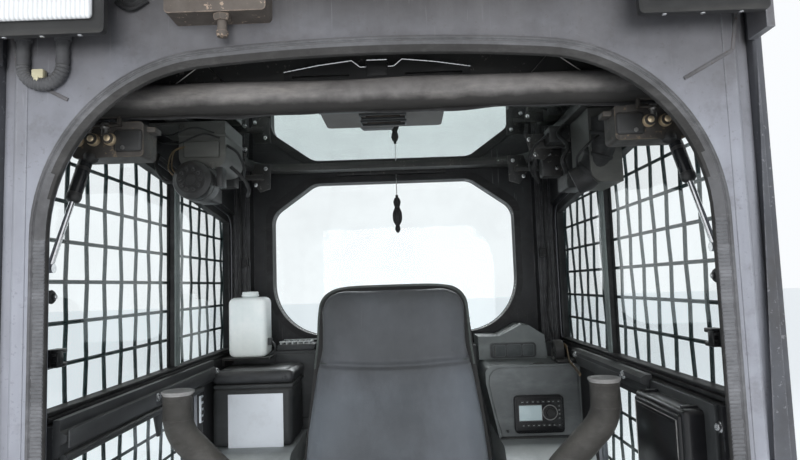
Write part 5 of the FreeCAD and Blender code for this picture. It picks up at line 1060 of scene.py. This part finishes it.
def corner_gussets():
    """The inverted V brackets that brace the stowed door's front corners."""
    with piece("corner_gussets", BLACK_STEEL, "black_steel", mirrored=True) as work:
        apex = Vector((252, -384, 1362))
        for end in (Vector((226, -384, 1333)), Vector((292, -384, 1331))):
            run = (end - apex).normalized()
            side = Vector((-run.z, 0, run.x)) * 4
            plate(work, [apex - side, end - side, end + side, apex + side], (0, 6, 0), 1)
        slab(work, (240, -383, 1330), (272, -380, 1346), 1)

    with piece("gusset_lips", RAIL_STEEL, "rail_steel", mirrored=True) as work:
        thread(work, [(222, -391, 1333), (251, -391, 1364), (296, -391, 1331)], 0.7)


def overhead_left():
    """The left overhead housing's seam and screws, the blower under it and its wires."""
    with piece("housing_details", HOUSING_PLASTIC, "dark_plastic") as work:
        slab(work, (-376.5, -151.5, 1316), (-288.5, -29, 1321), 1)
        slab(work, (-366, -153, 1276), (-300, -149, 1308), 4, 3)
        for x in (-368, -297):
            disc_bolt(work, (x, -150, 1335), AHEAD, 3.5, 3)
        for x in (-352, -313):
            slab(work, (x - 5, -154, 1256), (x + 5, -148, 1266), 1.5)
    with piece("blower", BLOWER_PLASTIC, "dark_plastic", stands_for=["blower_motor"]) as work:
        centre = (-332.5, -212, 1227)
        turned(work, centre, (0, 1, 0),
               [(0, -2), (9, -2), (11, 0), (25, 0), (28, 3), (33, 6), (34.6, 10), (34.6, 24), (32.4, 25),
                (32.4, 28), (34.6, 29), (34.6, 56), (31, 61.5), (0, 61.5)], 40)
        for angle in round_angles(10):
            offset = Vector((math.cos(angle) * 18, -1.5, math.sin(angle) * 18))
            turned(work, Vector(centre) + offset, AHEAD, [(0, 0), (4, 0), (4, 2), (2.6, 2.4), (0, 1)], 10)
        slab(work, (-347, -198, 1250), (-318, -108, 1256), 1)
        slab(work, (-296, -188, 1216), (-285, -160, 1252), 2)
    with piece("overhead_wires", BLACK_RUBBER, "black_rubber") as work:
        wire(work, [(-300, -150, 1312), (-330, -158, 1318), (-372, -160, 1302), (-398, -150, 1306),
                    (-420, -130, 1316), (-428, -90, 1322)], 1.6)
        wire(work, [(-310, -150, 1322), (-345, -162, 1330), (-390, -158, 1318), (-424, -140, 1330)], 1.4)
        wire(work, [(-290, -140, 1300), (-276, -120, 1290), (-272, -90, 1268), (-280, -60, 1252)], 2.6)
        wire(work, [(-286, -130, 1262), (-264, -128, 1240), (-258, -110, 1222), (-268, -80, 1214)], 3.4)
        wire(work, [(-372, -156, 1230), (-398, -160, 1236), (-416, -150, 1262), (-420, -130, 1290)], 3.0)
    with piece("motor_leads", BROWN_LEAD, "black_plastic") as work:
        wire(work, [(-366, -152, 1296), (-384, -158, 1286), (-390, -160, 1256), (-372, -164, 1234),
                    (-368, -168, 1214)], 1.5)
        wire(work, [(-362, -152, 1298), (-380, -156, 1290), (-385, -158, 1260), (-370, -168, 1240)], 1.3)


def overhead_right():
    """The right side's curved duct, its bands and the tangle of hoses behind it."""
    with piece("air_duct", BLACK_RUBBER, "dark_plastic") as work:
        line = line_points([(402, -150, 1326), (400, -140, 1290), (392, -128, 1252), (376, -116, 1226),
                            (352, -108, 1214)], 8)
        swept(work, [(point, 24 + 3 * math.sin(math.pi * n / len(line))) for n, point in enumerate(line)],
              24)
        for n in (6, 14, 22):
            direction = line[n + 1] - line[n]
            turned(work, line[n], direction,
                   [(0, -4), (27.6, -4), (28.6, -2), (28.6, 2), (27.6, 4), (0, 4)], 28)
    with piece("right_hoses", BLACK_RUBBER, "black_rubber") as work:
        wire(work, [(356, -40, 1340), (340, -60, 1318), (352, -80, 1290), (338, -90, 1262),
                    (350, -70, 1240)], 4.5)
        wire(work, [(372, 40, 1330), (330, 60, 1312), (318, 80, 1276), (330, 100, 1250)], 5.0)
        wire(work, [(330, -20, 1330), (306, 10, 1310), (300, 40, 1280), (312, 60, 1256)], 2.6)
        wire(work, [(402, -150, 1300), (372, -168, 1280), (350, -150, 1256), (356, -120, 1240)], 2.2)


def overhead_brackets():
    """The folded brackets, with pale edges, that carry the overhead fittings at both sides."""
    with piece("overhead_brackets", BLACK_STEEL, "black_steel", mirrored=True) as work:
        plate(work, [(292, 30, 1342), (352, 30, 1342), (344, 30, 1300), (330, 30, 1286), (304, 30, 1290)],
              (0, 3, 0), 0.8)
        plate(work, [(280, 190, 1330), (318, 190, 1330), (330, 190, 1296), (306, 190, 1262),
                     (282, 190, 1270)], (0, 3, 0), 0.8)
        slab(work, (330, -26, 1312), (372, 26, 1344), 3)
        slab(work, (300, 26, 1310), (420, 34, 1322), 2)
        slab(work, (296, 186, 1292), (424, 196, 1304), 2)
        slab(work, (384, 60, 1230), (428, 150, 1340), 5, 3)
        slab(work, (340, 96, 1262), (386, 132, 1326), 4)

    with piece("overhead_bolts", BRIGHT, "rail_steel", mirrored=True) as work:
        for x, y, z in ((300, 29, 1330), (340, 29, 1330), (312, 29, 1298), (292, 189, 1318),
                        (316, 189, 1280), (356, 95, 1312), (372, 95, 1280)):
            disc_bolt(work, (x, y, z), AHEAD, 3.4, 3.4)


# Rear of the cab

def rear_details():
    """The lamp rod and amber strip over the rear window, and the trims beside it."""
    with piece("lamp_rod", BRIGHT, "rail_steel") as work:
        turned(work, (-99, 441, 1371), RIGHT,
               [(0, 0), (4.5, 0), (5.2, 3), (5.2, 195), (4.5, 198), (0, 198)], 16)
        for x in (-104, -40, 40, 99):
            slab(work, (x - 3, 437, 1363), (x + 3, 448, 1379), 1)
    with piece("amber_strip", AMBER, "black_plastic") as work:
        slab(work, (208, 455, 1362), (297, 462.5, 1370), 1.5)
    with piece("rear_header_trim", BLACK_STEEL, "black_steel") as work:
        slab(work, (150, 448, 1352), (330, 462.5, 1359), 2)
        slab(work, (-330, 448, 1352), (-150, 462.5, 1359), 2)
        slab(work, (-400, 420, 1386), (400, 462, 1413), 4, 3)
        slab(work, (-396, 436, 1380), (396, 446, 1386), 2)

    with piece("rear_post_catches", BLACK_RUBBER, "black_rubber", mirrored=True) as work:
        slab(work, (392, 411, 1096), (412, 420, 1122), 2)
        slab(work, (396, 406, 1102), (406, 412, 1116), 1.5)
        slab(work, (404, 411, 960), (416, 419, 986), 2)
        wire(work, [(416, 420, 1300), (410, 412, 1180), (414, 410, 1060), (408, 414, 940), (418, 420, 884)],
             3.6)


CORD_Y = 452.333
PULL = Vector((13, CORD_Y, 1283))  # where the release cord enters its tassel


def tassel():
    """The release pull's cord and its turned tassel."""
    curve = bpy.data.curves.new("release_cord", "CURVE")
    curve.dimensions = "3D"
    spline = curve.splines.new("NURBS")
    route = [(13.0, 1341.0), (13.5, 1326.0), (12.6, 1312.0), (13.3, 1297.0), (13.0, 1283.0), (13.0, 1240.0),
             (13.0, 1182.0)]
    spline.points.add(len(route) - 1)
    for point, (x, z) in zip(spline.points, route):
        point.co = (MM * x, MM * CORD_Y, MM * z, 1.0)
    spline.order_u = 3
    spline.use_endpoint_u = True
    curve.bevel_depth = 0.0012
    curve.bevel_resolution = 3
    curve.materials.append(BRIGHT)
    cord = joined(bpy.data.objects.new("release_cord", curve), "cab", "pull_cord", ["release_pull"])
    work = bmesh.new()
    turned(work, PULL, DOWN,
           [(0, 0), (3, 0), (4.4, 3), (3.2, 6), (5.5, 8), (8.6, 13), (9.6, 20), (9.0, 28), (6.4, 34),
            (5.2, 38), (7.6, 42),
            (11.2, 48), (12.0, 58), (11.6, 70), (8.4, 79), (5.0, 84), (6.8, 90), (7.4, 96), (4.2, 103),
            (0, 106)], 28)
    for angle in round_angles(14):
        out = Vector((math.cos(angle), math.sin(angle), 0))
        wire(work, [PULL + out * r - Vector((0, 0, d)) for r, d in
                    ((5.4, 8), (9.4, 20), (6.2, 34), (11.6, 50), (11.6, 70), (5.2, 84))], 0.9, 5, 4)
    knob = made("tassel", work, BLACK_RUBBER, "black_rubber", stands_for=["pull_tassel"])


# Sides

def window_details():
    """The pale strip where the sliding panes meet, the lower channels, the latches and their bolts."""
    with piece("meeting_strips", STRIP_PLASTIC, "black_rubber", mirrored=True) as work:
        slab(work, (441.0, 14, 884), (444.4, 38, 1262), 1.0)
        slab(work, (439.6, 24, 884), (441.4, 31, 1260), 0.6)

    with piece("window_channels", BLACK_RUBBER, "black_rubber", mirrored=True) as work:
        slab(work, (433, -446, 859), (444, 430, 867), 2)
        slab(work, (437, -446, 869), (445, 430, 876), 1.5)
        slab(work, (440, -446, 878), (445, 430, 882), 1)

    with piece("latch_bodies", BLACK_GLOSS, "black_plastic", stands_for=["window_latches"],
               mirrored=True) as work:
        slab(work, (437, -446, 940), (444, -419, 964), 2)
        slab(work, (428, -444, 940), (438, -420, 946), 1.5)
        slab(work, (428, -444, 958), (438, -420, 964), 1.5)
        slab(work, (427, -446, 943), (430, -432, 961), 1.5)
        slab(work, (431, -441, 949), (440, -424, 955), 1)

    with piece("window_catches", BLACK_PLASTIC, "black_plastic", mirrored=True) as work:
        turned(work, (444, -437, 1033), LEFT,
               [(0, 0), (9, 0), (9.5, 2.4), (8, 4.4), (5, 5), (4.6, 7), (0, 7.6)], 22)

    with piece("catch_pins", BRIGHT, "rail_steel", mirrored=True) as work:
        turned(work, (437, -437, 1033), LEFT, [(0, 0), (3.2, 0), (3.2, 1.6), (2.2, 2.4), (0, 2.4)], 16)
    with piece("belt_rail_covers", RAIL_PLASTIC, "black_steel") as work:
        slab(work, (-411.5, -448, 838), (-409, -165, 861), 1.1, 2)
        slab(work, (-411.5, -140, 838), (-409, 175, 861), 1.1, 2)
        slab(work, (409, -120, 842), (411.5, 165, 862), 1.1, 2)
    with piece("channel_bolts", BRIGHT, "rail_steel") as work:
        for x, y, z in ((-431, -441, 843), (-413, -154, 851), (-413, 190, 850)):
            disc_bolt(work, (x, y, z), (1, -0.25, 0.1), 5.5, 6)
        for x, y, z in ((413, -134, 862), (413, 180, 862), (431, -441, 838)):
            disc_bolt(work, (x, y, z), (-1, -0.25, 0.1), 5.5, 6)


def guards():
    """The woven guards outside the windows: straight level wires, crimped uprights and a flat rim."""
    low, high = (Vector(corner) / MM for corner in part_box("side_guard_right"))
    pitch, thick = 59.0, 3.1
    middle = (low.x + high.x) / 2

    with piece("guard_mesh", GUARD_PAINT, "guard_paint", stands_for=["side_guard_left", "side_guard_right"],
               mirrored=True) as work:
        columns = [-417 + pitch * number for number in range(15)]
        levels = [low.z + 44.25 + pitch * number
                  for number in range(15) if low.z + 44.25 + pitch * number < high.z - 6]
        for number, y in enumerate(columns):
            stations = [((middle, y, low.z + 4), thick)]
            for row, z in enumerate(levels):
                over = 1.7 if (row + number) % 2 else -1.7
                stations += [((middle + over * share, y + share * over, z + step), thick)
                             for step, share in ((-20, 0.3), (-10, 0.8), (0, 1.0), (10, 0.8), (20, 0.3))]
            stations.append(((middle, y, high.z - 4), thick))
            swept(work, stations, 6)
        for z in levels:
            swept(work, [((middle, low.y + 4, z), thick), ((middle, high.y - 4, z), thick)], 6)
        for start, end in (((low.x, low.y, low.z), (high.x, low.y + 12, high.z)),
                           ((low.x, high.y - 12, low.z), high),
                           ((low.x, low.y, low.z), (high.x, high.y, low.z + 12)),
                           ((low.x, low.y, high.z - 12), high)):
            slab(work, start, end, 1.2)


def port_flange():
    """The rolled flange over the left lower opening, and its bracket."""
    with piece("port_flange", DARK_PLASTIC, "black_steel") as work:
        swept(work, [((-424, -440, 822), 7), ((-424, -200, 822), 7), ((-424, 118, 822), 7)], 16)
        slab(work, (-429.5, -440, 816), (-424, 118, 832), 2)
        plate(work, [(-427, -140, 820), (-427, -96, 820), (-427, -112, 776), (-427, -122, 776)], (4, 0, 0),
              1)


def storage_box():
    """The storage box: a tapered body with a rounded lid, its latch and a plain plate."""
    with piece("box_body", DARK_PLASTIC, "dark_plastic", stands_for=["storage_box"]) as work:
        slab(work, (-429, 206, 672.5), (-242, 353, 808), 14, 4)
        slab(work, (-424, 202.5, 806), (-239, 353, 815), 3)
    with piece("box_lid", LID_PLASTIC, "dark_plastic", stands_for=["storage_box_cover"]) as work:
        slab(work, (-429, 201, 816), (-236, 353.5, 846), 14, 6)
        slab(work, (-410, 222, 842), (-258, 336, 847), 2.4, 2)
        turned(work, (-258, 200.5, 829), AHEAD, [(0, 0), (5, 0), (5, 2), (3.6, 3.4), (0, 3.4)], 16)
    with piece("box_plate", PLATE, "bottle_plastic") as work:
        slab(work, (-391, 204.9, 671), (-263, 206.2, 793), 0.5, 1)
    with piece("switch_plate", PLATE, "bottle_plastic") as work:
        slab(work, (-430, 119, 748), (-425, 137, 806), 1.5)
    with piece("switches", BLACK_PLASTIC, "black_plastic") as work:
        for z in (756, 770, 784, 798):
            slab(work, (-426, 122, z - 4), (-422.5, 134, z + 4), 1)


def washer_bottle():
    """The washer bottle: a blown body with two upright grooves, shoulders, neck and cap."""
    low, high = Vector((-417.5, 301, 866.3)), Vector((-321, 375, 1015))
    with piece("bottle_body", BOTTLE, "bottle_plastic", stands_for=["washer_bottle"], sharp=50) as work:
        shape = Matrix.Translation((low + high) / 2) @ Matrix.Diagonal((*(high - low), 1.0))
        bmesh.ops.create_cube(work, size=1.0, matrix=shape)
        for place, out in ([((x, 0, 0), (1, 0, 0)) for x in (-386, -380, -358, -352)]
                           + [((0, 0, z), (0, 0, 1)) for z in (884, 990)]):
            bmesh.ops.bisect_plane(work, geom=everything(work), plane_co=place, plane_no=out)
        rims = [edge for edge in work.edges if len(edge.link_faces) == 2
                and edge.link_faces[0].normal.dot(edge.link_faces[1].normal) < 0.5]
        softened(work, rims, 17, 5, 0.55)
        grooves = [face for face in work.faces if abs(face.normal.y) > 0.9
                   and any(abs(face.calc_center_median().x - x) < 2 for x in (-383, -355))]
        for face in grooves:
            bmesh.ops.translate(work, vec=(0, 2.2 if face.normal.y < 0 else -2.2, 0), verts=face.verts)
        turned(work, (-369, 338, 1013), UP, [(0, 0), (24, 0), (23, 2), (19, 3), (17.5, 5), (0, 5)], 28)
    with piece("bottle_cap", BOTTLE, "bottle_plastic", stands_for=["washer_bottle_cap"]) as work:
        turned(work, (-369, 338, 1017), UP,
               [(0, 0), (20, 0), (22, 1.2), (22, 4), (20.4, 5), (20.4, 10), (18.5, 12), (6, 12.4),
                (0, 12.4)], 32)
    with piece("bottle_pump", DARK_PLASTIC, "black_plastic") as work:
        slab(work, (-323, 316, 894), (-312, 334, 912), 2)
        wire(work, [(-312, 325, 903), (-304, 322, 892), (-307, 330, 878), (-318, 340, 870)], 2.4)
        slab(work, (-420, 297, 861), (-312, 378, 866.2), 1.2)


def shelf_vents():
    """The left shelf's raised rear edge with its row of slots, and the panel below it."""
    with piece("shelf_edge", DARK_PLASTIC, "grey_plastic") as work:
        slab(work, (-312, 381, 872), (-214, 455, 889), 5, 3)
        slab(work, (-316, 377, 700), (-206, 382, 866), 4, 3)
    with piece("shelf_vents", PALE_PLASTIC, "grey_plastic") as work:
        for number in range(6):
            x = -304 + number * 15
            slab(work, (x, 384, 887), (x + 3.5, 450, 896), 0.8)
        slab(work, (-306, 384, 893.5), (-216, 388, 897), 1)
        slab(work, (-306, 446, 893.5), (-216, 450, 897), 1)


# Right side

def laid_on_slope(work):
    """Flattens a disc to the leaf's oval and lays it on the left slope of the dash's peak."""
    bmesh.ops.scale(work, vec=(1, 0.5, 1), verts=work.verts)
    bmesh.ops.rotate(work, cent=(0, 0, 0), matrix=Matrix.Rotation(math.radians(-26.6), 3, "Y"),
                     verts=work.verts)
    bmesh.ops.translate(work, vec=(296, 362, 910.5), verts=work.verts)


def dash():
    """The right dash's arched face plate, recess cover, the leaf on its peak and the lower sill."""
    lower_front, upper_front = 219.5, 347.0
    with piece("dash_face", GREY_PLASTIC, "grey_plastic") as work:
        arch = [(243, 676), (232, 715), (222, 762), (216, 797), (218, 814), (226, 827), (240, 833),
                (416, 834), (424, 828), (426, 676)]
        plate(work, [(x, lower_front, z) for x, z in arch], (0, -4.5, 0), 2.2, 3)
    with piece("dash_recess_cover", DARK_PLASTIC, "grey_plastic") as work:
        plate(work, rounded(238, 840, 356, 879, upper_front, 9), (0, -5.6, 0), 1.2, 2)
    with piece("dash_recess_flaps", DASH_DARK, "grey_plastic") as work:
        for low, high in ((246, 277), (281, 317), (321, 349)):
            plate(work, rounded(low, 845, high, 874, upper_front - 4.5, 4), (0, -2.6, 0), 0.8, 2)
    with piece("dash_recess_edges", GREY_PLASTIC, "grey_plastic") as work:
        for low, high, corner in ((238.5, 355.5, 9), (246, 277, 4), (281, 317, 4), (321, 349, 4)):
            inset = 0 if corner == 9 else 4.8
            line = rounded(low, 840.5 + inset, high, 878.5 - inset,
                           upper_front - (6.0 if corner == 9 else 7.2), corner)
            thread(work, line + line[:1], 0.45, 5)
    with piece("dash_slider", RAIL_STEEL, "rail_steel") as work:
        thread(work, [(250, 339.2, 848), (250, 339.2, 870)], 1.3, 8)
    with piece("dash_leaf", DASH_DARK, "grey_plastic") as work:
        turned(work, (0, 0, 0), UP, [(0, 1.4), (25, 1.4), (27, 0), (27, -4), (0, -4)], 40)
        laid_on_slope(work)
    with piece("dash_leaf_rim", PALE_PLASTIC, "grey_plastic") as work:
        turned(work, (0, 0, 0), UP, [(25, 0.5), (26, 2.8), (28.6, 3.2), (30.4, 1.6), (30.4, -4)], 40)
        laid_on_slope(work)
    with piece("dash_sill", DARK_PLASTIC, "grey_plastic") as work:
        slab(work, (238, 208, 652), (428, 222, 676), 5, 3)
        turned(work, (254, 205, 690), AHEAD, [(0, -6), (3, -6), (3, 0.2), (0, 0.2)], 12)
    with piece("dash_plug", BLACK_PLASTIC, "black_plastic") as work:
        turned(work, (338, 236, 838.2), UP, [(0, 2.2), (9, 2.2), (13, 1.2), (14, 0), (0, 0)], 20)


def radio():
    """The radio: bezel, screen, knob ring and two rows of keys."""
    front = 207.0
    with piece("radio_body", BLACK_GLOSS, "black_plastic", stands_for=["radio"]) as work:
        plate(work, rounded(271, 684.5, 385, 769.5, front + 12, 9), (0, -15, 0), 2, 2)
        plate(work, rounded(275.5, 689, 380.5, 765, front - 2, 6), (0, -2.5, 0), 0.8, 2)
    with piece("radio_screen", SCREEN, "bottle_plastic") as work:
        slab(work, (281, front - 5.3, 714), (333, front - 4, 748), 0.6)
    with piece("radio_keys", BLACK_PLASTIC, "black_plastic") as work:
        for row, z in enumerate((756, 703)):
            for number in range(8):
                x = 285 + number * 12
                slab(work, (x, front - 6, z - 2.6), (x + 8, front - 4, z + 2.6), 0.8)
        for number in range(4):
            z = 716 + number * 9
            slab(work, (370, front - 6, z), (376, front - 4, z + 5), 0.8)
        turned(work, (352, front - 4, 731), AHEAD,
               [(0, 9), (9, 9), (10.5, 7.5), (10.5, 2), (14, 1.6), (14, 0), (0, 0)], 28)
    with piece("radio_marks", PALE_PLASTIC, "black_plastic") as work:
        for z in (756, 703):
            for number in range(8):
                x = 287 + number * 12 + chance.uniform(-0.6, 0.6)
                slab(work, (x, front - 6.4, z - 0.6), (x + chance.uniform(2.6, 4.4), front - 5.8, z + 0.6))
        for z in (718.5, 727.5, 736.5, 745.5):
            slab(work, (371.5, front - 6.4, z - 0.6), (374.5, front - 5.8, z + 0.6))
    with piece("radio_trim", RAIL_STEEL, "rail_steel") as work:
        turned(work, (352, front - 4.2, 731), AHEAD, [(15, 0), (16.2, 1), (17.2, 1), (18, 0)], 32)
        thread(work, [(281, front - 5, 713), (333.5, front - 5, 713), (333.5, front - 5, 749),
                      (281, front - 5, 749), (281, front - 5, 713)], 0.5)


def display():
    """The display: deep case, raised bezel, black pane and a thin pale outline."""
    x = 392.0
    with piece("display_case", BLACK_GLOSS, "black_gloss", stands_for=["display"]) as work:
        slab(work, (396, -413, 690), (430, -232, 854), 8, 4)
        slab(work, (392, -405, 698), (400, -240, 846), 4, 3)
        for low, high in ((-396, -388), (-262, -254)):
            slab(work, (402, low, 852), (424, high, 857), 1.5)
    with piece("display_pane", BLACK_GLOSS, "black_gloss") as work:
        slab(work, (x - 1.2, -394, 714), (x + 1, -252, 834), 0.6)
    with piece("display_outline", RAIL_STEEL, "rail_steel") as work:
        corners = ((-399, 706), (-247, 706), (-247, 839), (-399, 839), (-399, 706))
        thread(work, [(x - 0.6, y, z) for y, z in corners], 0.8)
        thread(work, [(x - 0.6, -399, 712), (x - 0.6, -247, 712)], 0.5)
    with piece("display_backing", DARK_PLASTIC, "black_steel") as work:
        slab(work, (424, -440, 640), (430.4, -226, 866), 1.5)


def harness():
    """The brown lead and its clip behind the right lever."""
    with piece("harness_lead", BROWN_LEAD, "black_plastic") as work:
        wire(work, [(402, 250, 880), (408, 232, 874), (404, 214, 858), (398, 190, 846), (402, 150, 836),
                    (398, 110, 828)], 4.6)
        bmesh.ops.scale(work, vec=(0.4, 1, 1), space=Matrix.Translation((-403, 0, 0)), verts=work.verts)
    with piece("belt_reel", BLACK_PLASTIC, "black_plastic", stands_for=["belt_retractor"]) as work:
        turned(work, (400, 258, 865), LEFT,
               [(0, 0), (25, 0), (26, 4), (26, 20), (20, 22), (18, 18), (8, 18), (6, 22), (0, 22)], 32)
        slab(work, (380, 226, 838.5), (430, 290, 846), 3)


# Levers and seat

def lever_tops():
    """Each lever's flat cap, its rolled rim and the seams of its sleeve."""
    for side, sign in (("left", -1), ("right", 1)):
        x, y, top = sign * 352.0, -220.0, 871.0
        with piece("lever_cap_" + side, LEVER_CAP, "lever_rubber", body="lever_" + side) as work:
            turned(work, (x, y, top - 1), UP,
                   [(0, 1.2), (17, 1.2), (20, 2.0), (24.4, 2.2), (26.4, 1.2), (26.6, -1.4),
                    (25.4, -3), (24.1, -3.2), (24.1, -5), (0, -5)], 36)
        with piece("lever_rings_" + side, LEVER_RUBBER, "lever_rubber", body="lever_" + side) as work:
            for drop in (9, 46):
                turned(work, (x, y, top - drop), UP,
                       [(23.6, -1.4), (24.6, -0.8), (24.6, 0.8), (23.6, 1.4)], 36)


def filled(pad, voxel, pressure=4.0, cap=0.010, frames=20):
    """Remeshes a pad, blows it up like filled fabric and holds each point within the cap."""
    bpy.context.view_layer.objects.active = pad
    remesh = pad.modifiers.new("even", "REMESH")
    remesh.mode = "VOXEL"
    remesh.voxel_size = voxel
    bpy.ops.object.modifier_apply(modifier=remesh.name)
    start = [vert.co.copy() for vert in pad.data.vertices]
    cloth = pad.modifiers.new("fill", "CLOTH")
    cloth.settings.quality = 4
    cloth.settings.use_pressure = True
    cloth.settings.uniform_pressure_force = pressure
    cloth.settings.effector_weights.gravity = 0.0
    cloth.point_cache.frame_start = 1
    cloth.point_cache.frame_end = frames
    for number in range(1, frames + 1):
        scene.frame_set(number)
    solved = pad.evaluated_get(bpy.context.evaluated_depsgraph_get())
    blown = [vert.co.copy() for vert in solved.data.vertices]
    pad.modifiers.remove(cloth)
    scene.frame_set(1)
    for vert, old, new in zip(pad.data.vertices, start, blown):
        move = new - old
        if move.length > cap:
            move = move.normalized() * cap
        vert.co = old + move
    even = pad.modifiers.new("smooth", "SUBSURF")
    even.levels = 1
    even.render_levels = 1
    bpy.ops.object.modifier_apply(modifier=even.name)


def pressed(pad, seams):
    """Presses seams into a pad: each is a distance from a line, its depth, its width and its way in."""
    verts = pad.data.vertices
    normals = [vert.normal.copy() for vert in verts]
    for vert, normal in zip(verts, normals):
        place = vert.co.copy()
        for distance, depth, width, way in seams:
            place += way(normal) * depth * math.exp(-(distance(vert.co) / width) ** 2)
        vert.co = place


def pad_piece(name, work, stands_for):
    """A pad of the seat, as built, before it is filled."""
    mesh = mesh_from(name, work, VINYL)
    return joined(bpy.data.objects.new(name, mesh), "seat", "seat_vinyl", [stands_for])


BACK_FOOT = Vector((0, 100, 470))
BACK_TURN = Matrix.Rotation(math.radians(-11), 4, "X")


def on_back(x, depth, height):
    """A point on the backrest: across, ahead of its shell, and up along it."""
    return BACK_FOOT + BACK_TURN @ Vector((x, -depth, height))


def seam_height(x):
    """How far up the backrest its cross seam runs: it rises to the sides."""
    return 383 + 10 * (abs(x) / 170) ** 2


def backrest():
    """The backrest's pad: the head part over a sewn seam, flaring to the lower part with its side rolls."""
    work = bmesh.new()
    half = [(216, 8), (208, 120), (196, 260), (180, 372), (168, 425), (166, 480), (164, 520), (150, 552),
            (118, 563)]
    outline = [(x, z) for x, z in half] + [(-x, z) for x, z in reversed(half)]
    verts = [work.verts.new(on_back(x, 7, z)) for x, z in outline]
    face = work.faces.new(verts)
    grown = bmesh.ops.extrude_face_region(work, geom=[face])
    moved = verts_of(grown)
    bmesh.ops.translate(work, vec=BACK_TURN @ Vector((0, -68, 0)), verts=moved)
    softened(work, {edge for edge in edges_at(verts + moved) if len(edge.link_faces) == 2
                    and edge.link_faces[0].normal.dot(edge.link_faces[1].normal) < 0.7}, 18, 4)
    pad = pad_piece("backrest_pad", work, "seat_back")
    filled(pad, voxel=0.007)
    inverse = BACK_TURN.inverted()
    forward = BACK_TURN @ Vector((0, -1, 0))

    def along(co):
        return inverse @ (co / MM - BACK_FOOT)

    def push(normal):
        """Seams press towards the shell on the front face only."""
        return -forward if normal.dot(forward) > 0.2 else Vector((0, 0, 0))

    def seam_across(co):
        point = along(co)
        return (point.z - seam_height(point.x)) * MM

    def dish(co):
        return along(co).x * MM
    pressed(pad, [(seam_across, 0.007, 0.006, push), (dish, 0.006, 0.09, push)])
    pad.data.shade_smooth()
    work = bmesh.new()
    rim = [on_back(x, 66, z) for x,
           z in [(173, 383), (167, 440), (164.5, 500), (158, 531), (138, 550), (99, 559.5), (0, 561)]]
    mirror_rim = [Vector((-p.x, p.y, p.z)) for p in reversed(rim[:-1])]
    wire(work, rim + mirror_rim, 2.6, 10, 8)
    seam = [on_back(x, 70, seam_height(x) + 2) for x in (-162, -120, -60, 0, 60, 120, 162)]
    wire(work, seam, 1.0, 8, 6)
    made("backrest_piping", work, PIPING, "seat_vinyl", "seat")


def cushion():
    """The seat cushion: crowned, with side rolls and a sewn channel across."""
    work = bmesh.new()
    slab(work, (-206, -292, 356), (206, 70, 460), 30, 5)
    pad = pad_piece("cushion_pad", work, "seat_cushion")
    filled(pad, voxel=0.008)

    def push(normal):
        return Vector((0, 0, -1)) if normal.z > 0.3 else Vector((0, 0, 0))
    pressed(pad, [(lambda co: co.y + 0.10, 0.007, 0.007, push),
                  (lambda co: abs(co.x) - 0.150, 0.007, 0.007, push),
                  (lambda co: co.x, 0.006, 0.09, push)])
    pad.data.shade_smooth()


# Outside

def outside():
    """Bolts, hinges and folded lips on the outside of the walls and roof."""
    with piece("guard_bolts", BLACK_STEEL, "black_steel", mirrored=True) as work:
        for y in (-430, -215, 0, 215, 426):
            for z in (427, 846):
                disc_bolt(work, (471, y, z), RIGHT, 6, 6)

    with piece("wall_lips", WALLS, "cab_paint", mirrored=True) as work:
        slab(work, (465, -449, 1400), (472, 497, 1439), 3)
        slab(work, (465, -449, 53), (469, 497, 92), 2)
        slab(work, (462, 470, 93), (468, 500, 1399), 3)
    with piece("rear_wall_bands", WALLS, "cab_paint") as work:
        slab(work, (-300, 498, 1398), (300, 506, 1432), 3)
        slab(work, (-420, 498, 120), (420, 503, 150), 2)
        slab(work, (-420, 498, 820), (420, 503, 850), 2)
        for x in (-400, -200, 0, 200, 400):
            disc_bolt(work, (x, 503, 135), (0, 1, 0), 7, 6)


place_camera()
studio()
dress_nodes()
door_seal()
weld_straps()
pillar_folds()
lamp_details()
header_details()
conduit()
bulb_seal()
handle_trim()
latch_details()
roller_details()
strut_details()
corner_gussets()
overhead_left()
overhead_right()
overhead_brackets()
rear_details()
tassel()
window_details()
guards()
port_flange()
storage_box()
washer_bottle()
shelf_vents()
dash()
radio()
display()
harness()
lever_tops()
backrest()
cushion()
outside()
